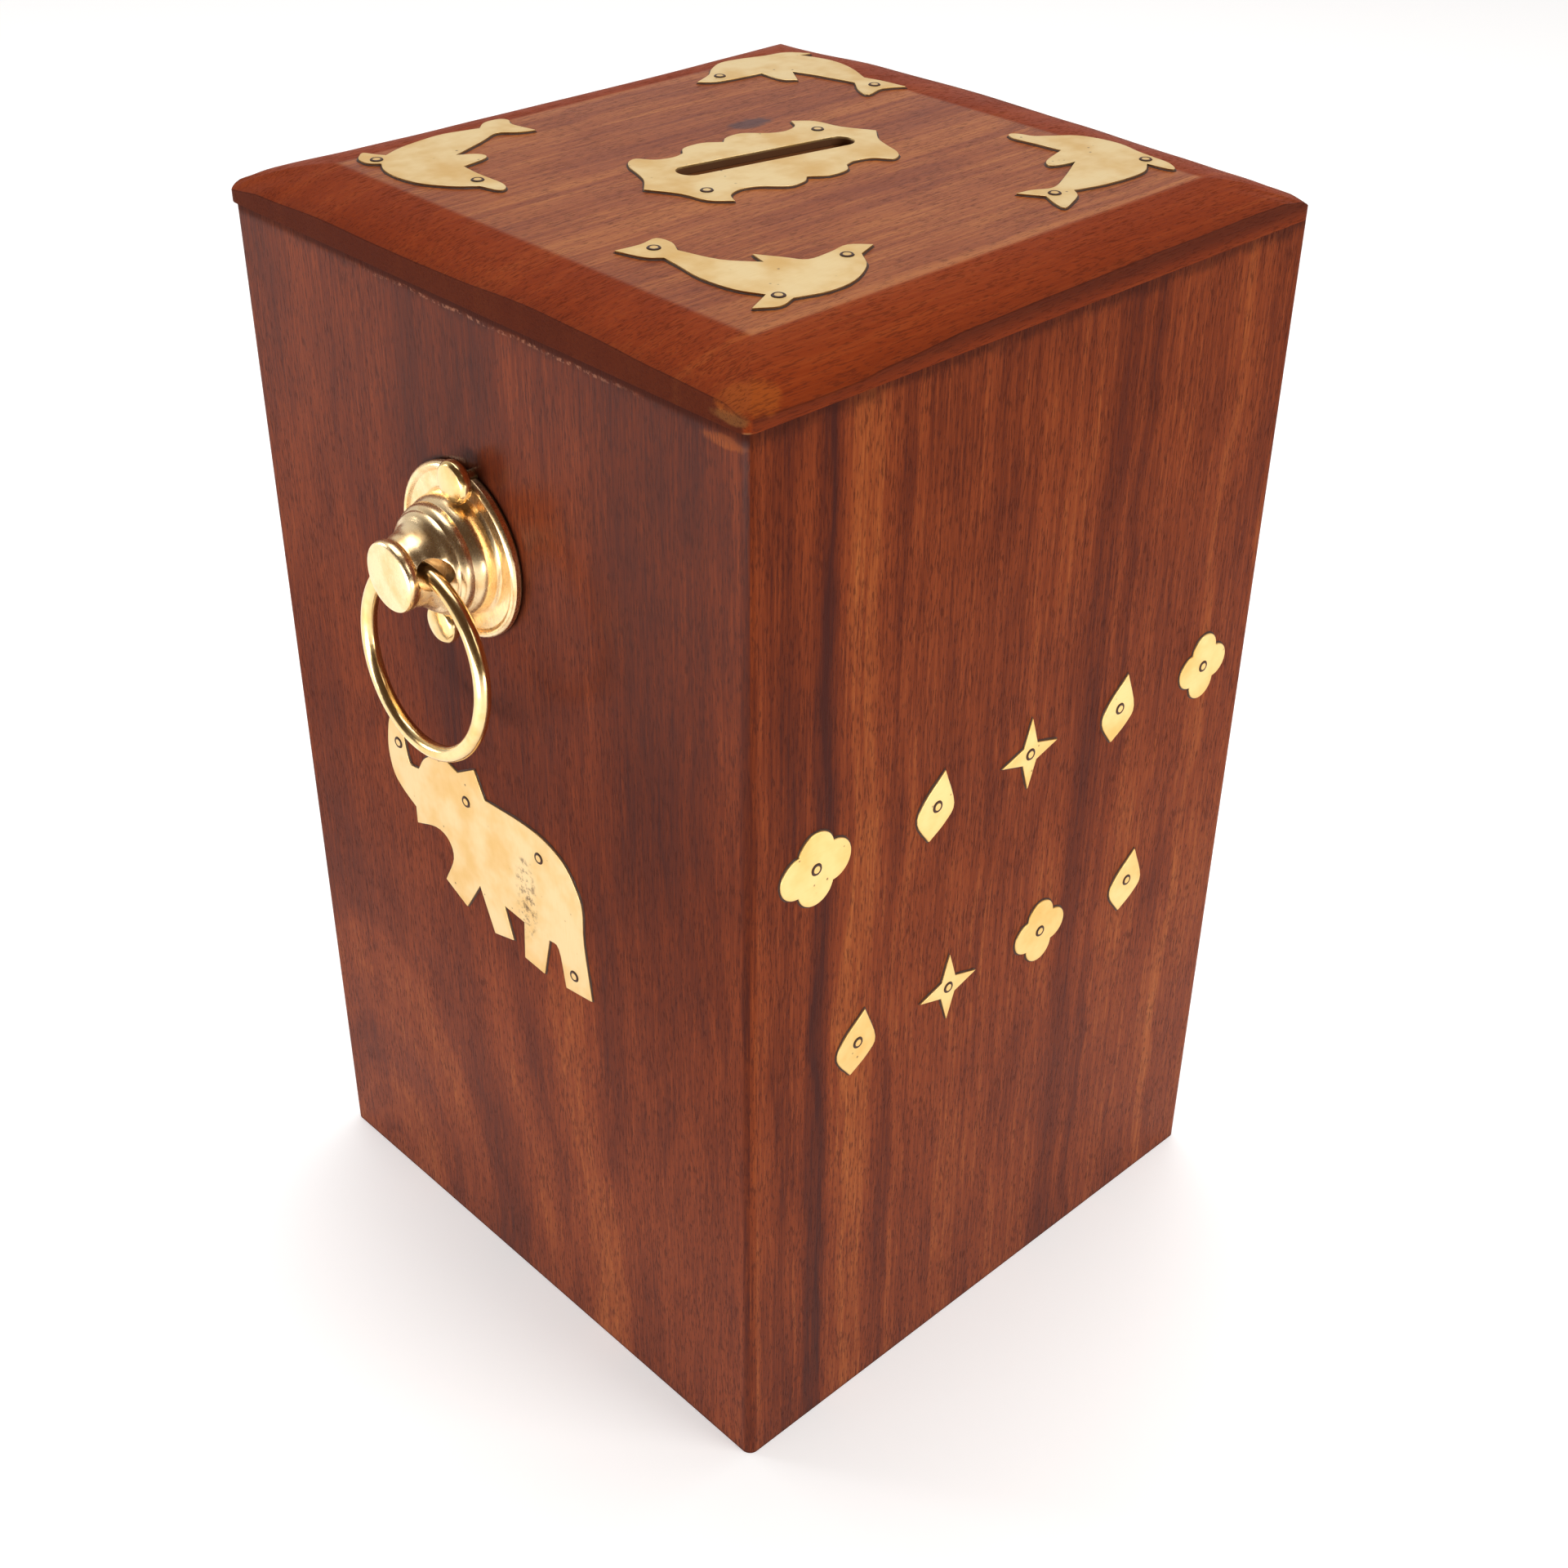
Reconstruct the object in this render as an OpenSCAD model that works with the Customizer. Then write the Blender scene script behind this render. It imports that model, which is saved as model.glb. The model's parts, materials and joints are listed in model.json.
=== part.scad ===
// Sheesham-wood money box with brass inlay, ring pulls and a locking back door.
// Millimetres. Origin: centre of the underside. The front (motif) face looks along -Y.

/* [Box] */
// Outside width of the square box, along X and along Y
body_w = 124; // [120:1:140]
// Height of the four walls
body_h = 200; // [190:1:230]
// Thickness of the walls
wall_t = 9; // [8:0.5:11]
// Thickness of the base board
base_t = 8; // [6:0.5:10]
// Radius of the sanded upright edges
edge_r = 1.8; // [1:0.1:3]

/* [Lid] */
// Thickness of the lid board at its flat centre
lid_t = 6.4; // [6:0.1:9]
// Height of the thin upright edge band of the lid
lid_band = 1.9; // [1.5:0.1:2.5]
// Width of the pillowed border around the flat centre
lid_border = 13; // [10:0.5:14]
// How far the lid stands out past the walls
lid_overhang = 0.5; // [0:0.1:1.5]

/* [Coin slot] */
// Length of the slot, end to end
slot_len = 34; // [30:0.5:36]
// Width of the slot
slot_w = 5; // [4.5:0.1:6]
// How far the slot and its plate are turned on the lid, in degrees
slot_turn = -10; // [-12:1:0]

/* [Brass inlay] */
// Thickness of the sheet brass
brass_t = 1.5; // [1.2:0.1:1.8]
// Depth of the pockets in the wood
pocket_d = 1.1; // [0.8:0.1:1.2]
// Radius of the inlay pins
pin_r = 0.7; // [0.5:0.1:0.9]

/* [Ring pulls] */
// Radius of the pull's round flange
flange_r = 14.6; // [14.2:0.1:15]
// Height of each pull's centre above the base
pull_z = 158.8; // [150:0.5:165]
// Radius of the ring, to the middle of its wire
ring_r = 15.5; // [15:0.1:16]
// Radius of the ring's wire
wire_r = 1.35; // [1.2:0.05:1.4]
// How far the hanging ring leans out from the wall, in degrees
ring_lean = 4.8; // [0:0.1:8]

/* [Back door] */
// Width of the door opening
door_w = 60; // [50:1:70]
// Height of the door opening
door_h = 50; // [40:1:60]
// Height of the opening's lower edge above the base
door_z = 18; // [14:1:24]
// Gap around the closed door
door_gap = 0.5; // [0.4:0.1:0.8]

/* [Hidden] */

$fn = 48;
cut = 1;                                   // overshoot of a cutting tool past a face
proud = brass_t - pocket_d;                // how far the brass stands above the wood
lid_top = body_h + lid_t;                  // height of the lid's flat centre
pin_len = 6;                               // inlay pin, under its head
pin_rise = 0.15;                           // pin head above the brass
pin_play = 0.2;                            // gap between a pin and the hole in the brass
brad_r = 0.6;                              // hidden steel brads
wood = [0.45, 0.2, 0.12];
brass = "goldenrod";
steel = "silver";

// ---- curves -------------------------------------------------------------------------
// An outline is a closed list of [x, y] points joined by a smooth curve. A third value
// of 1 marks a sharp corner.
curve_steps = 4;
function xy(p) = [p[0], p[1]];
function is_sharp(p) = len(p) == 3;
function curve_point(p0, p1, p2, p3, t) = 0.5 * (
  2 * p1 + (p2 - p0) * t
  + (2 * p0 - 5 * p1 + 4 * p2 - p3) * t * t
  + (3 * p1 - p0 - 3 * p2 + p3) * t * t * t);
function outline(pts) =
  let (n = len(pts))
  [for (i = [0 : n - 1])
    let (
      a = pts[(i + n - 1) % n], b = pts[i], c = pts[(i + 1) % n], d = pts[(i + 2) % n],
      before = is_sharp(b) ? 2 * xy(b) - xy(c) : xy(a),
      after = is_sharp(c) ? 2 * xy(c) - xy(b) : xy(d),
      steps = is_sharp(b) && is_sharp(c) ? 1 : curve_steps
    )
    for (k = [0 : steps - 1]) curve_point(before, xy(b), xy(c), after, k / steps)];
function half_turned(pts) = [for (p = pts) concat([-p[0], -p[1]], len(p) == 3 ? [1] : [])];

// ---- placing on the faces -----------------------------------------------------------
// On the left face a shape is drawn in (Y, Z) and on the front face in (X, Z), both
// growing outwards from "depth" inside the wood.
module on_left(depth) {
  translate([-body_w / 2 + depth, 0, 0]) rotate([90, 0, 90]) mirror([0, 0, 1]) children();
}
module on_right(depth) { mirror([1, 0, 0]) on_left(depth) children(); }
module on_front(depth) { translate([0, -body_w / 2 + depth, 0]) rotate([90, 0, 0]) children(); }
module on_lid(depth) { translate([0, 0, lid_top - depth]) children(); }

// ---- inlay outlines -----------------------------------------------------------------
near_dolphin_pts = [
  [-43, -12.5, 1], [-38.5, -13], [-35, -12.5], [-34.5, -15.5], [-36, -18.5, 1], [-34, -25.5],
  [-30, -30.5, 1], [-29, -27, 1], [-26.5, -31], [-24.5, -34], [-20, -34], [-16, -33.5],
  [-13, -36, 1], [-17, -37.5, 1], [-20, -41.5], [-25.5, -44.5], [-31, -45], [-36.5, -43.5, 1],
  [-40, -44.5], [-43.5, -42.5, 1], [-38.5, -40, 1], [-40.5, -35.5], [-41, -29], [-40, -23],
  [-39.5, -19.5, 1], [-41.5, -17.5]
];
left_dolphin_pts = [
  [-45.5, 49], [-44, 50], [-43, 48], [-42, 46.5, 1], [-38.5, 48], [-34, 49], [-28.5, 49.5],
  [-22, 48, 1], [-19.5, 50], [-16.5, 50], [-15.5, 48.5], [-16.5, 46], [-15.5, 41, 1],
  [-18.5, 42], [-21.5, 44], [-26, 42], [-33.5, 39, 1], [-31, 37.5], [-30, 36], [-31, 34.5],
  [-36, 33.5, 1], [-36.5, 29], [-36.5, 23], [-37.5, 20.5], [-39, 20.5], [-40, 24, 1],
  [-43, 26.5], [-46, 31], [-47, 36], [-46.5, 40.5], [-45, 43.5, 1], [-46.5, 45], [-46.5, 47.5]
];
right_dolphin_pts = [
  [41.5, -14.5], [42.5, -14], [43.5, -15], [44.5, -17.5], [47, -19.5], [50, -22], [51.5, -25.5],
  [52, -30], [51, -34.5], [50.5, -38], [50, -41.5], [48.5, -44], [47.5, -43.5], [47, -39.5, 1],
  [44, -41.5], [40, -42], [34, -41.5], [28, -40, 1], [26.5, -42], [23.5, -43.5], [20.5, -44.5],
  [21, -42], [22.5, -39, 1], [20, -35, 1], [23, -35.5], [26.5, -37], [31.5, -35], [39, -31, 1],
  [36.5, -30.5], [34.5, -29.5], [36, -27.5], [42, -25.5, 1], [41.5, -20.5], [41, -16.5]
];
far_dolphin_pts = [
  [23.5, 44, 1], [28, 46], [31, 48.5], [35, 50.5], [39.5, 50], [44.5, 48.5], [49, 47.5],
  [52, 44, 1], [49.5, 44.5, 1], [51, 40.5], [51.5, 36.5], [50.5, 31.5], [48, 26, 1], [49, 22],
  [49.5, 17, 1], [45.5, 19], [41, 18], [41.5, 21], [44.5, 25, 1], [43.5, 29], [42.5, 33],
  [41, 37.5, 1], [38, 33, 1], [36, 35], [36, 40.5, 1], [31, 41], [26, 42]
];
// Half of the slot plate, around its own centre; the other half is this turned round.
plate_half_pts = [
  [-17.5, 13.5], [-15.5, 14], [-13.5, 11.5], [-10.5, 10.5], [-8, 11, 1], [-6, 13], [-2, 13],
  [1, 11, 1], [3, 12.5], [6.5, 12.5], [10, 9.5], [13, 8.5], [16, 9.5], [17.5, 12, 1],
  [20.5, 9], [21.5, 4], [24.5, -1.5, 1], [21.5, -5], [20, -8.5], [19, -11.5]
];
plate_centre = [2.5, 4];
slot_centre = [4, 5];
elephant_pts = [
  [27.5, 114.5], [29, 116], [31, 115], [32, 112], [32.5, 107.5], [31.5, 103], [29, 100.5],
  [25.5, 98.5, 1], [25.5, 95, 1], [19.5, 97], [16, 96], [15, 92.5], [18, 86.5, 1],
  [12, 83.5, 1], [7.5, 90.5, 1], [4, 82, 1], [-1.5, 83.5, 1], [0.5, 90, 1], [-5, 89.5, 1],
  [-4.5, 81.5, 1], [-10, 81, 1], [-12, 89.5, 1], [-14.5, 89], [-16, 81.5, 1], [-23, 82.5, 1],
  [-21.5, 94], [-21.5, 101], [-20, 105], [-17, 108.5], [-12, 110.5], [-6, 111],
  [4, 110.5, 1], [6.5, 115.5, 1], [11.5, 112.5, 1], [16, 113.5], [21, 111],
  [23.5, 107.5, 1], [26, 107.5], [27, 111]
];

// Pins through each piece of brass, in the same coordinates as its outline
near_dolphin_pins = [[-38, -15.5], [-19, -36.5], [-37.5, -41.5]];
left_dolphin_pins = [[-44.5, 45.5], [-38.5, 26.5]];
right_dolphin_pins = [[24.5, -39], [48.5, -38]];
far_dolphin_pins = [[29, 44], [46, 21.5]];
plate_pins = [[-17.5, -5.5], [17.5, 5.5]];
elephant_pins_at = [[29, 110.5], [9.5, 107.5], [-10.5, 106], [-18.5, 85.5]];

// ---- front motifs -------------------------------------------------------------------
// Plain flowers, leaves and stars in two rows: [kind, x, z, width, height]
flower = 0;
leaf = 1;
star = 2;
motifs = [
  [flower, -48.5, 124.5, 15, 13.5], [leaf, -21.5, 123.5, 10.5, 13],
  [star, 1, 123.5, 14, 14], [leaf, 24.5, 122.5, 10.5, 13], [flower, 48, 121.5, 13, 13],
  [leaf, -38, 84, 11, 13], [star, -16, 83.5, 14, 14],
  [flower, 8, 83, 13, 13], [leaf, 32.5, 82, 11, 13]
];
motif_lean = -14;                          // the leaves lean a little, like hand-cut work
leaf_pts = [[0, -0.5, 1], [0.3, -0.25], [0.4, 0], [0, 0.5, 1], [-0.34, 0.1], [-0.38, -0.2]];
petal_r = 0.25;
star_waist = 0.17;
function star_pts() = [for (i = [0 : 7])
  let (r = i % 2 == 0 ? 0.5 : star_waist) [r * sin(45 * i), r * cos(45 * i)]];
module flower_2d(w, h) {
  for (i = [0 : 3]) rotate(90 * i) translate([0, (i % 2 == 0 ? h : w) / 2 - petal_r * w])
    circle(r = petal_r * w);
  circle(r = petal_r * w);
}
module leaf_2d(w, h) {
  rotate(motif_lean) polygon(outline([for (p = leaf_pts)
    concat([p[0] * w, p[1] * h], len(p) == 3 ? [1] : [])]));
}
module star_2d(w, h) { polygon([for (p = star_pts()) [p[0] * w, p[1] * h]]); }
module motif_2d(m) {
  translate([m[1], m[2]]) {
    if (m[0] == flower) flower_2d(m[3], m[4]);
    if (m[0] == leaf) leaf_2d(m[3], m[4]);
    if (m[0] == star) star_2d(m[3], m[4]);
  }
}
function motif_pins_at() = [for (m = motifs) [m[1], m[2]]];

// ---- shared inlay work --------------------------------------------------------------
module pin_set(at) {
  for (p = at) translate([p[0], p[1], pocket_d - pin_len])
    cylinder(r = pin_r, h = pin_len + proud + pin_rise);
}
module pin_holes(at) {
  for (p = at) translate([p[0], p[1], -cut])
    cylinder(r = pin_r + pin_play, h = brass_t + 2 * cut);
}
// Sheet brass with pin holes; its back is at local Z = 0
module brass_sheet(at) {
  color(brass) difference() {
    linear_extrude(brass_t) children();
    pin_holes(at);
  }
}
// The pocket that the sheet lies in, with the pins' own holes under it
module brass_pocket(at) {
  linear_extrude(pocket_d + cut) children();
  pin_set(at);
}

// ---- walls and base -----------------------------------------------------------------
module box_footprint() {
  square([body_w - 2 * edge_r, body_w], center = true);
  square([body_w, body_w - 2 * edge_r], center = true);
  for (x = [-1, 1], y = [-1, 1])
    translate([x * (body_w / 2 - edge_r), y * (body_w / 2 - edge_r)]) circle(r = edge_r);
}
// One mitred wall, "turn" quarter turns from the front
module mitred_wall(turn) {
  linear_extrude(body_h) intersection() {
    box_footprint();
    rotate(90 * turn) translate([0, -body_w / 2]) polygon([
      [-body_w / 2, 0], [body_w / 2, 0],
      [body_w / 2 - wall_t, wall_t], [-body_w / 2 + wall_t, wall_t]
    ]);
  }
}
module front_panel() {
  color(wood) difference() {
    mitred_wall(0);
    on_front(pocket_d) brass_pocket(motif_pins_at()) for (m = motifs) motif_2d(m);
    corner_brad_set();
    base_brad_set();
    lid_brad_set();
  }
}
// side -1 is the left wall and +1 the right one, whose inlay and pull are mirrored
module side_panel(side) {
  color(wood) difference() {
    mitred_wall(side < 0 ? 3 : 1);
    mirror([side < 0 ? 0 : 1, 0, 0]) {
      on_left(pocket_d) brass_pocket(elephant_pins_at) polygon(outline(elephant_pts));
      on_left(0) pull_pin_shafts();
    }
    corner_brad_set();
    base_brad_set();
    lid_brad_set();
  }
}
module left_panel() { side_panel(-1); }
module right_panel() { side_panel(1); }
module back_panel() {
  color(wood) difference() {
    mitred_wall(2);
    translate([-door_w / 2, 0, door_z]) cube([door_w, body_w, door_h]);
    corner_brad_set();
    base_brad_set();
    lid_brad_set();
    hinge_screw_set(-1);
    staple_screw_set();
  }
}
module base_board() {
  color(wood) difference() {
    translate([0, 0, base_t / 2])
      cube([body_w - 2 * wall_t, body_w - 2 * wall_t, base_t], center = true);
    base_brad_set();
  }
}

// ---- hidden brads -------------------------------------------------------------------
brad_len = 16;
brad_out = 0.6;                            // a brad's head is sunk and filled this deep
base_brad_at = 32;                         // from the middle of each wall to its base brads
lid_brad_at = 52;                          // from the middle of each wall to its lid brads
lid_brad_bite = 2.5;                       // how far a lid brad reaches up into the lid
// Level brads through the walls into the base board's edges
module base_brad_set() {
  for (turn = [0 : 3], s = [-1, 1]) rotate(90 * turn)
    translate([s * base_brad_at, -body_w / 2 + brad_out, base_t / 2]) rotate([-90, 0, 0])
      cylinder(r = brad_r, h = brad_len);
}
// Upright brads between the lid's border and the walls
module lid_brad_set() {
  for (turn = [0 : 3], s = [-1, 1]) rotate(90 * turn)
    translate([s * lid_brad_at, -body_w / 2 + wall_t / 2, body_h + lid_brad_bite - brad_len])
      cylinder(r = brad_r, h = brad_len);
}
// Level brads across each mitre
corner_brad_z = [30, 92, 168];
module corner_brad_set() {
  for (turn = [0 : 3], z = corner_brad_z) rotate(90 * turn)
    translate([-body_w / 2 + brad_out, -body_w / 2 + wall_t / 2, z]) rotate([0, 90, 0])
      cylinder(r = brad_r, h = brad_len);
}
module lid_brads() { color(steel) lid_brad_set(); }
module base_brads() { color(steel) base_brad_set(); }
module corner_brads() { color(steel) corner_brad_set(); }

// ---- lid ----------------------------------------------------------------------------
lid_w = body_w + 2 * lid_overhang;
lid_d = body_w + 2 * lid_overhang;
lid_rise = lid_t - lid_band;
border_r = (lid_border * lid_border + lid_rise * lid_rise) / (2 * lid_rise);
// Side view of the lid: a flat middle and a border that falls away on an arc
module lid_profile(span) {
  flat = span - 2 * lid_border;
  translate([-flat / 2, 0]) square([flat, lid_t]);
  for (side = [-1, 1]) intersection() {
    translate([side * flat / 2, lid_t - border_r]) circle(r = border_r, $fn = 96);
    translate([side > 0 ? flat / 2 : -span / 2, 0]) square([lid_border, lid_t]);
  }
}
module lid_blank() {
  intersection() {
    rotate([90, 0, 0]) linear_extrude(lid_d, center = true) lid_profile(lid_w);
    rotate([90, 0, 90]) linear_extrude(lid_w, center = true) lid_profile(lid_d);
  }
}
module slot_2d() {
  translate(slot_centre) rotate(slot_turn) {
    square([slot_len - slot_w, slot_w], center = true);
    for (s = [-1, 1]) translate([s * (slot_len - slot_w) / 2, 0]) circle(d = slot_w);
  }
}
module slot_plate_2d() {
  translate(plate_centre) polygon(outline(concat(plate_half_pts, half_turned(plate_half_pts))));
}
function plate_pins_at() = [for (p = plate_pins) p + plate_centre];
module lid_board() {
  color(wood) difference() {
    translate([0, 0, body_h]) lid_blank();
    on_lid(lid_t + cut) linear_extrude(lid_t + 2 * cut) slot_2d();
    on_lid(pocket_d) {
      brass_pocket(plate_pins_at()) slot_plate_2d();
      brass_pocket(near_dolphin_pins) polygon(outline(near_dolphin_pts));
      brass_pocket(left_dolphin_pins) polygon(outline(left_dolphin_pts));
      brass_pocket(right_dolphin_pins) polygon(outline(right_dolphin_pts));
      brass_pocket(far_dolphin_pins) polygon(outline(far_dolphin_pts));
    }
    lid_brad_set();
  }
}
module slot_plate() {
  on_lid(pocket_d) brass_sheet(plate_pins_at()) difference() {
    slot_plate_2d();
    slot_2d();
  }
}
module slot_plate_pins() { color(brass) on_lid(pocket_d) pin_set(plate_pins_at()); }
module near_dolphin() {
  on_lid(pocket_d) brass_sheet(near_dolphin_pins) polygon(outline(near_dolphin_pts));
}
module left_dolphin() {
  on_lid(pocket_d) brass_sheet(left_dolphin_pins) polygon(outline(left_dolphin_pts));
}
module right_dolphin() {
  on_lid(pocket_d) brass_sheet(right_dolphin_pins) polygon(outline(right_dolphin_pts));
}
module far_dolphin() {
  on_lid(pocket_d) brass_sheet(far_dolphin_pins) polygon(outline(far_dolphin_pts));
}
module dolphin_pins() {
  color(brass) on_lid(pocket_d)
    pin_set(concat(near_dolphin_pins, left_dolphin_pins, right_dolphin_pins, far_dolphin_pins));
}

// ---- inlay on the walls -------------------------------------------------------------
module elephant() { brass_sheet(elephant_pins_at) polygon(outline(elephant_pts)); }
module left_elephant() { on_left(pocket_d) elephant(); }
module right_elephant() { on_right(pocket_d) elephant(); }
module elephant_pins() {
  color(brass) {
    on_left(pocket_d) pin_set(elephant_pins_at);
    on_right(pocket_d) pin_set(elephant_pins_at);
  }
}
module front_motif(i) {
  on_front(pocket_d) brass_sheet([[motifs[i][1], motifs[i][2]]]) motif_2d(motifs[i]);
}
module front_motif_pins() { color(brass) on_front(pocket_d) pin_set(motif_pins_at()); }

// ---- ring pulls ---------------------------------------------------------------------
// The pull is a turned brass knob: [radius, distance out from the wall], drawn for a
// flange of radius profile_r and scaled to flange_r
profile_r = 14.6;
pull_profile = [
  [0, 0], [14.2, 0], [14.6, 0.5], [14.6, 1.4], [14.3, 1.8], [13.9, 2], [13.5, 1.8], [13.1, 1.3],
  [10.6, 1.2], [10.1, 1.7], [10.1, 3], [9.9, 4], [9.6, 4.7], [9.2, 5.2], [9.2, 6], [8.9, 6.8],
  [8.4, 7.2], [8.3, 7.8], [7.8, 8.4], [7.2, 8.8], [6.7, 9.6], [6.2, 10.6], [5.9, 11.6],
  [5.6, 12.4], [5.45, 12.8], [5.6, 13.1], [5.85, 13.4], [5.9, 14.2], [5.7, 14.8], [5.2, 15.1],
  [3.5, 15.25], [0, 15.3]
];
pull_y = 3.6;                              // the pulls sit a little behind the middle
hole_out = 10.6;                           // the ring's hole, out from the wall
hole_r = 2.6;
hole_turn = 12;                            // the hole's front end is this much higher, in degrees
ring_lift = 0.65;                          // top of the ring above the hole's axis
pull_pin_turn = 14;                        // the pins' line leans this far from upright
pull_pin_r = 1;
pull_pin_len = 7;
// [along the pins' line from the pull's centre, height of the head's underside off the wall];
// the lower pin is driven in further
pull_pin_list = [[14.2, 2.4], [-14, 2.05]];
pull_head = [[0, 0], [2.8, 0], [3.4, 0.5], [3.6, 1.1], [3.5, 1.8], [3, 2.3], [1.6, 2.55], [0, 2.6]];
module at_pull() { translate([pull_y, pull_z, 0]) children(); }
module at_hole() { at_pull() translate([0, 0, hole_out]) rotate(-hole_turn) children(); }
module at_pull_pin(pin) { at_pull() rotate(pull_pin_turn) translate([0, pin[0], 0]) children(); }
module pull_pin_shafts() {
  for (pin = pull_pin_list) at_pull_pin(pin) translate([0, 0, -pull_pin_len])
    cylinder(r = pull_pin_r, h = pull_pin_len + pin[1]);
}
module pull_plate() {
  color(brass) difference() {
    at_pull() scale(flange_r / profile_r) rotate_extrude($fn = 96) polygon(pull_profile);
    at_hole() rotate([0, 90, 0]) cylinder(r = hole_r, h = 4 * hole_out, center = true);
    for (pin = pull_pin_list) at_pull_pin(pin) translate([0, 0, -cut])
      cylinder(r = pull_pin_r + pin_play, h = pin[1] + 2 * cut);
  }
}
module pull_pins() {
  color(brass) {
    pull_pin_shafts();
    for (pin = pull_pin_list) at_pull_pin(pin) translate([0, 0, pin[1]])
      rotate_extrude() polygon(pull_head);
  }
}
// The ring hangs square to its hole, and leans out at the bottom
module pull_ring() {
  color(brass) at_hole() rotate([-ring_lean, 0, 0]) translate([0, ring_lift - ring_r, 0])
    rotate_extrude($fn = 96) translate([ring_r, 0]) circle(r = wire_r);
}
module left_pull_plate() { on_left(0) pull_plate(); }
module right_pull_plate() { on_right(0) pull_plate(); }
module left_pull_pins() { on_left(0) pull_pins(); }
module right_pull_pins() { on_right(0) pull_pins(); }
module left_ring() { on_left(0) pull_ring(); }
module right_ring() { on_right(0) pull_ring(); }

// ---- back door ----------------------------------------------------------------------
// Everything on the back is drawn in the box's own axes, with +Y out of the back face.
door_bevel = 1.2;                          // the free edge is planed back on the inside
module door_panel() {
  color(wood) difference() {
    translate([0, body_w / 2, door_z + door_gap]) linear_extrude(door_h - 2 * door_gap)
      polygon([
        [-door_w / 2 + door_gap, 0], [door_w / 2 - door_gap, 0],
        [door_w / 2 - door_gap - door_bevel, -wall_t], [-door_w / 2 + door_gap, -wall_t]
      ]);
    hinge_screw_set(1);
    hasp_screw_set();
  }
}

// ---- butt hinges, on the door's -X edge ---------------------------------------------
leaf_w = 8;
leaf_h = 18;
leaf_t = 0.8;
knuckle_r = 1.7;
knuckle_lift = 0.25;                       // gap between a knuckle and the face under it
hinge_out = knuckle_r + knuckle_lift;      // hinge axes, out from the back face
hinge_pin_r = 0.8;
knuckle_play = 0.3;                        // gap between neighbouring knuckles
pin_fit = 0.05;                            // running clearance of a hinge pin
pin_cap_r = 1.2;                           // the riveted cap on each end of a hinge pin
pin_cap_h = 0.5;
hinge_inset = 13;                          // from an end of the door opening to a hinge
hinge_z = [door_z + hinge_inset, door_z + door_h - hinge_inset];
screw_across = 0.6;                        // a leaf's screws, as a share of its width
screw_up = 0.3;                            // and of its height, from the leaf's middle
screw_r = 0.9;
screw_len = 6;
screw_head_r = 1.7;
screw_top_r = 1;
screw_head_h = 0.5;
hinge_x = -door_w / 2;
knuckle_count = 3;
module knuckle(z, h, bore) {
  translate([0, 0, z]) difference() {
    cylinder(r = knuckle_r, h = h, center = true);
    cylinder(r = bore, h = h + 2 * cut, center = true);
  }
}
// side -1 is the leaf on the frame, with the two end knuckles gripping the pin, and
// side +1 is the leaf on the door, past the gap, with the middle knuckle turning on it
module hinge_leaf(side, w, h) {
  share = h / knuckle_count;
  knuckles = side < 0 ? [-share, share] : [0];
  bore = hinge_pin_r + (side < 0 ? 0 : pin_fit);
  inner = side < 0 ? 0 : door_gap;
  difference() {
    translate([side < 0 ? -w : inner, -hinge_out, -h / 2]) cube([w - inner, leaf_t, h]);
    cylinder(r = knuckle_r, h = h + cut, center = true);
    for (z = side < 0 ? [0] : [-share, share]) translate([0, 0, z])
      cylinder(r = knuckle_r + knuckle_play, h = share + knuckle_play * 2, center = true);
    for (z = [-1, 1]) translate([side * w * screw_across, 0, z * h * screw_up])
      rotate([90, 0, 0]) cylinder(r = screw_r, h = hinge_out + cut);
  }
  for (z = knuckles) knuckle(z, share - knuckle_play, bore);
}
module at_hinge(z) { translate([hinge_x, body_w / 2 + hinge_out, z]) children(); }
module hinge_pin(h) {
  cylinder(r = hinge_pin_r, h = h + pin_cap_h, center = true);
  for (s = [-1, 1]) translate([0, 0, s * (h + pin_cap_h) / 2])
    cylinder(r = pin_cap_r, h = pin_cap_h, center = true);
}
module screw_head_and_shank() {
  translate([0, 0, leaf_t - screw_len]) cylinder(r = screw_r, h = screw_len);
  translate([0, 0, leaf_t]) cylinder(r1 = screw_head_r, r2 = screw_top_r, h = screw_head_h);
}
module hinge_screw_set(side) {
  for (z = hinge_z, s = [-1, 1])
    translate([hinge_x + side * leaf_w * screw_across, body_w / 2, z + s * leaf_h * screw_up])
      rotate([-90, 0, 0]) screw_head_and_shank();
}
module upper_hinge_frame_leaf() { color(brass) at_hinge(hinge_z[1]) hinge_leaf(-1, leaf_w, leaf_h); }
module upper_hinge_door_leaf() { color(brass) at_hinge(hinge_z[1]) hinge_leaf(1, leaf_w, leaf_h); }
module upper_hinge_pin() { color(brass) at_hinge(hinge_z[1]) hinge_pin(leaf_h); }
module lower_hinge_frame_leaf() { color(brass) at_hinge(hinge_z[0]) hinge_leaf(-1, leaf_w, leaf_h); }
module lower_hinge_door_leaf() { color(brass) at_hinge(hinge_z[0]) hinge_leaf(1, leaf_w, leaf_h); }
module lower_hinge_pin() { color(brass) at_hinge(hinge_z[0]) hinge_pin(leaf_h); }
module hinge_frame_screws() { color(brass) hinge_screw_set(-1); }
module hinge_door_screws() { color(brass) hinge_screw_set(1); }

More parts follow.
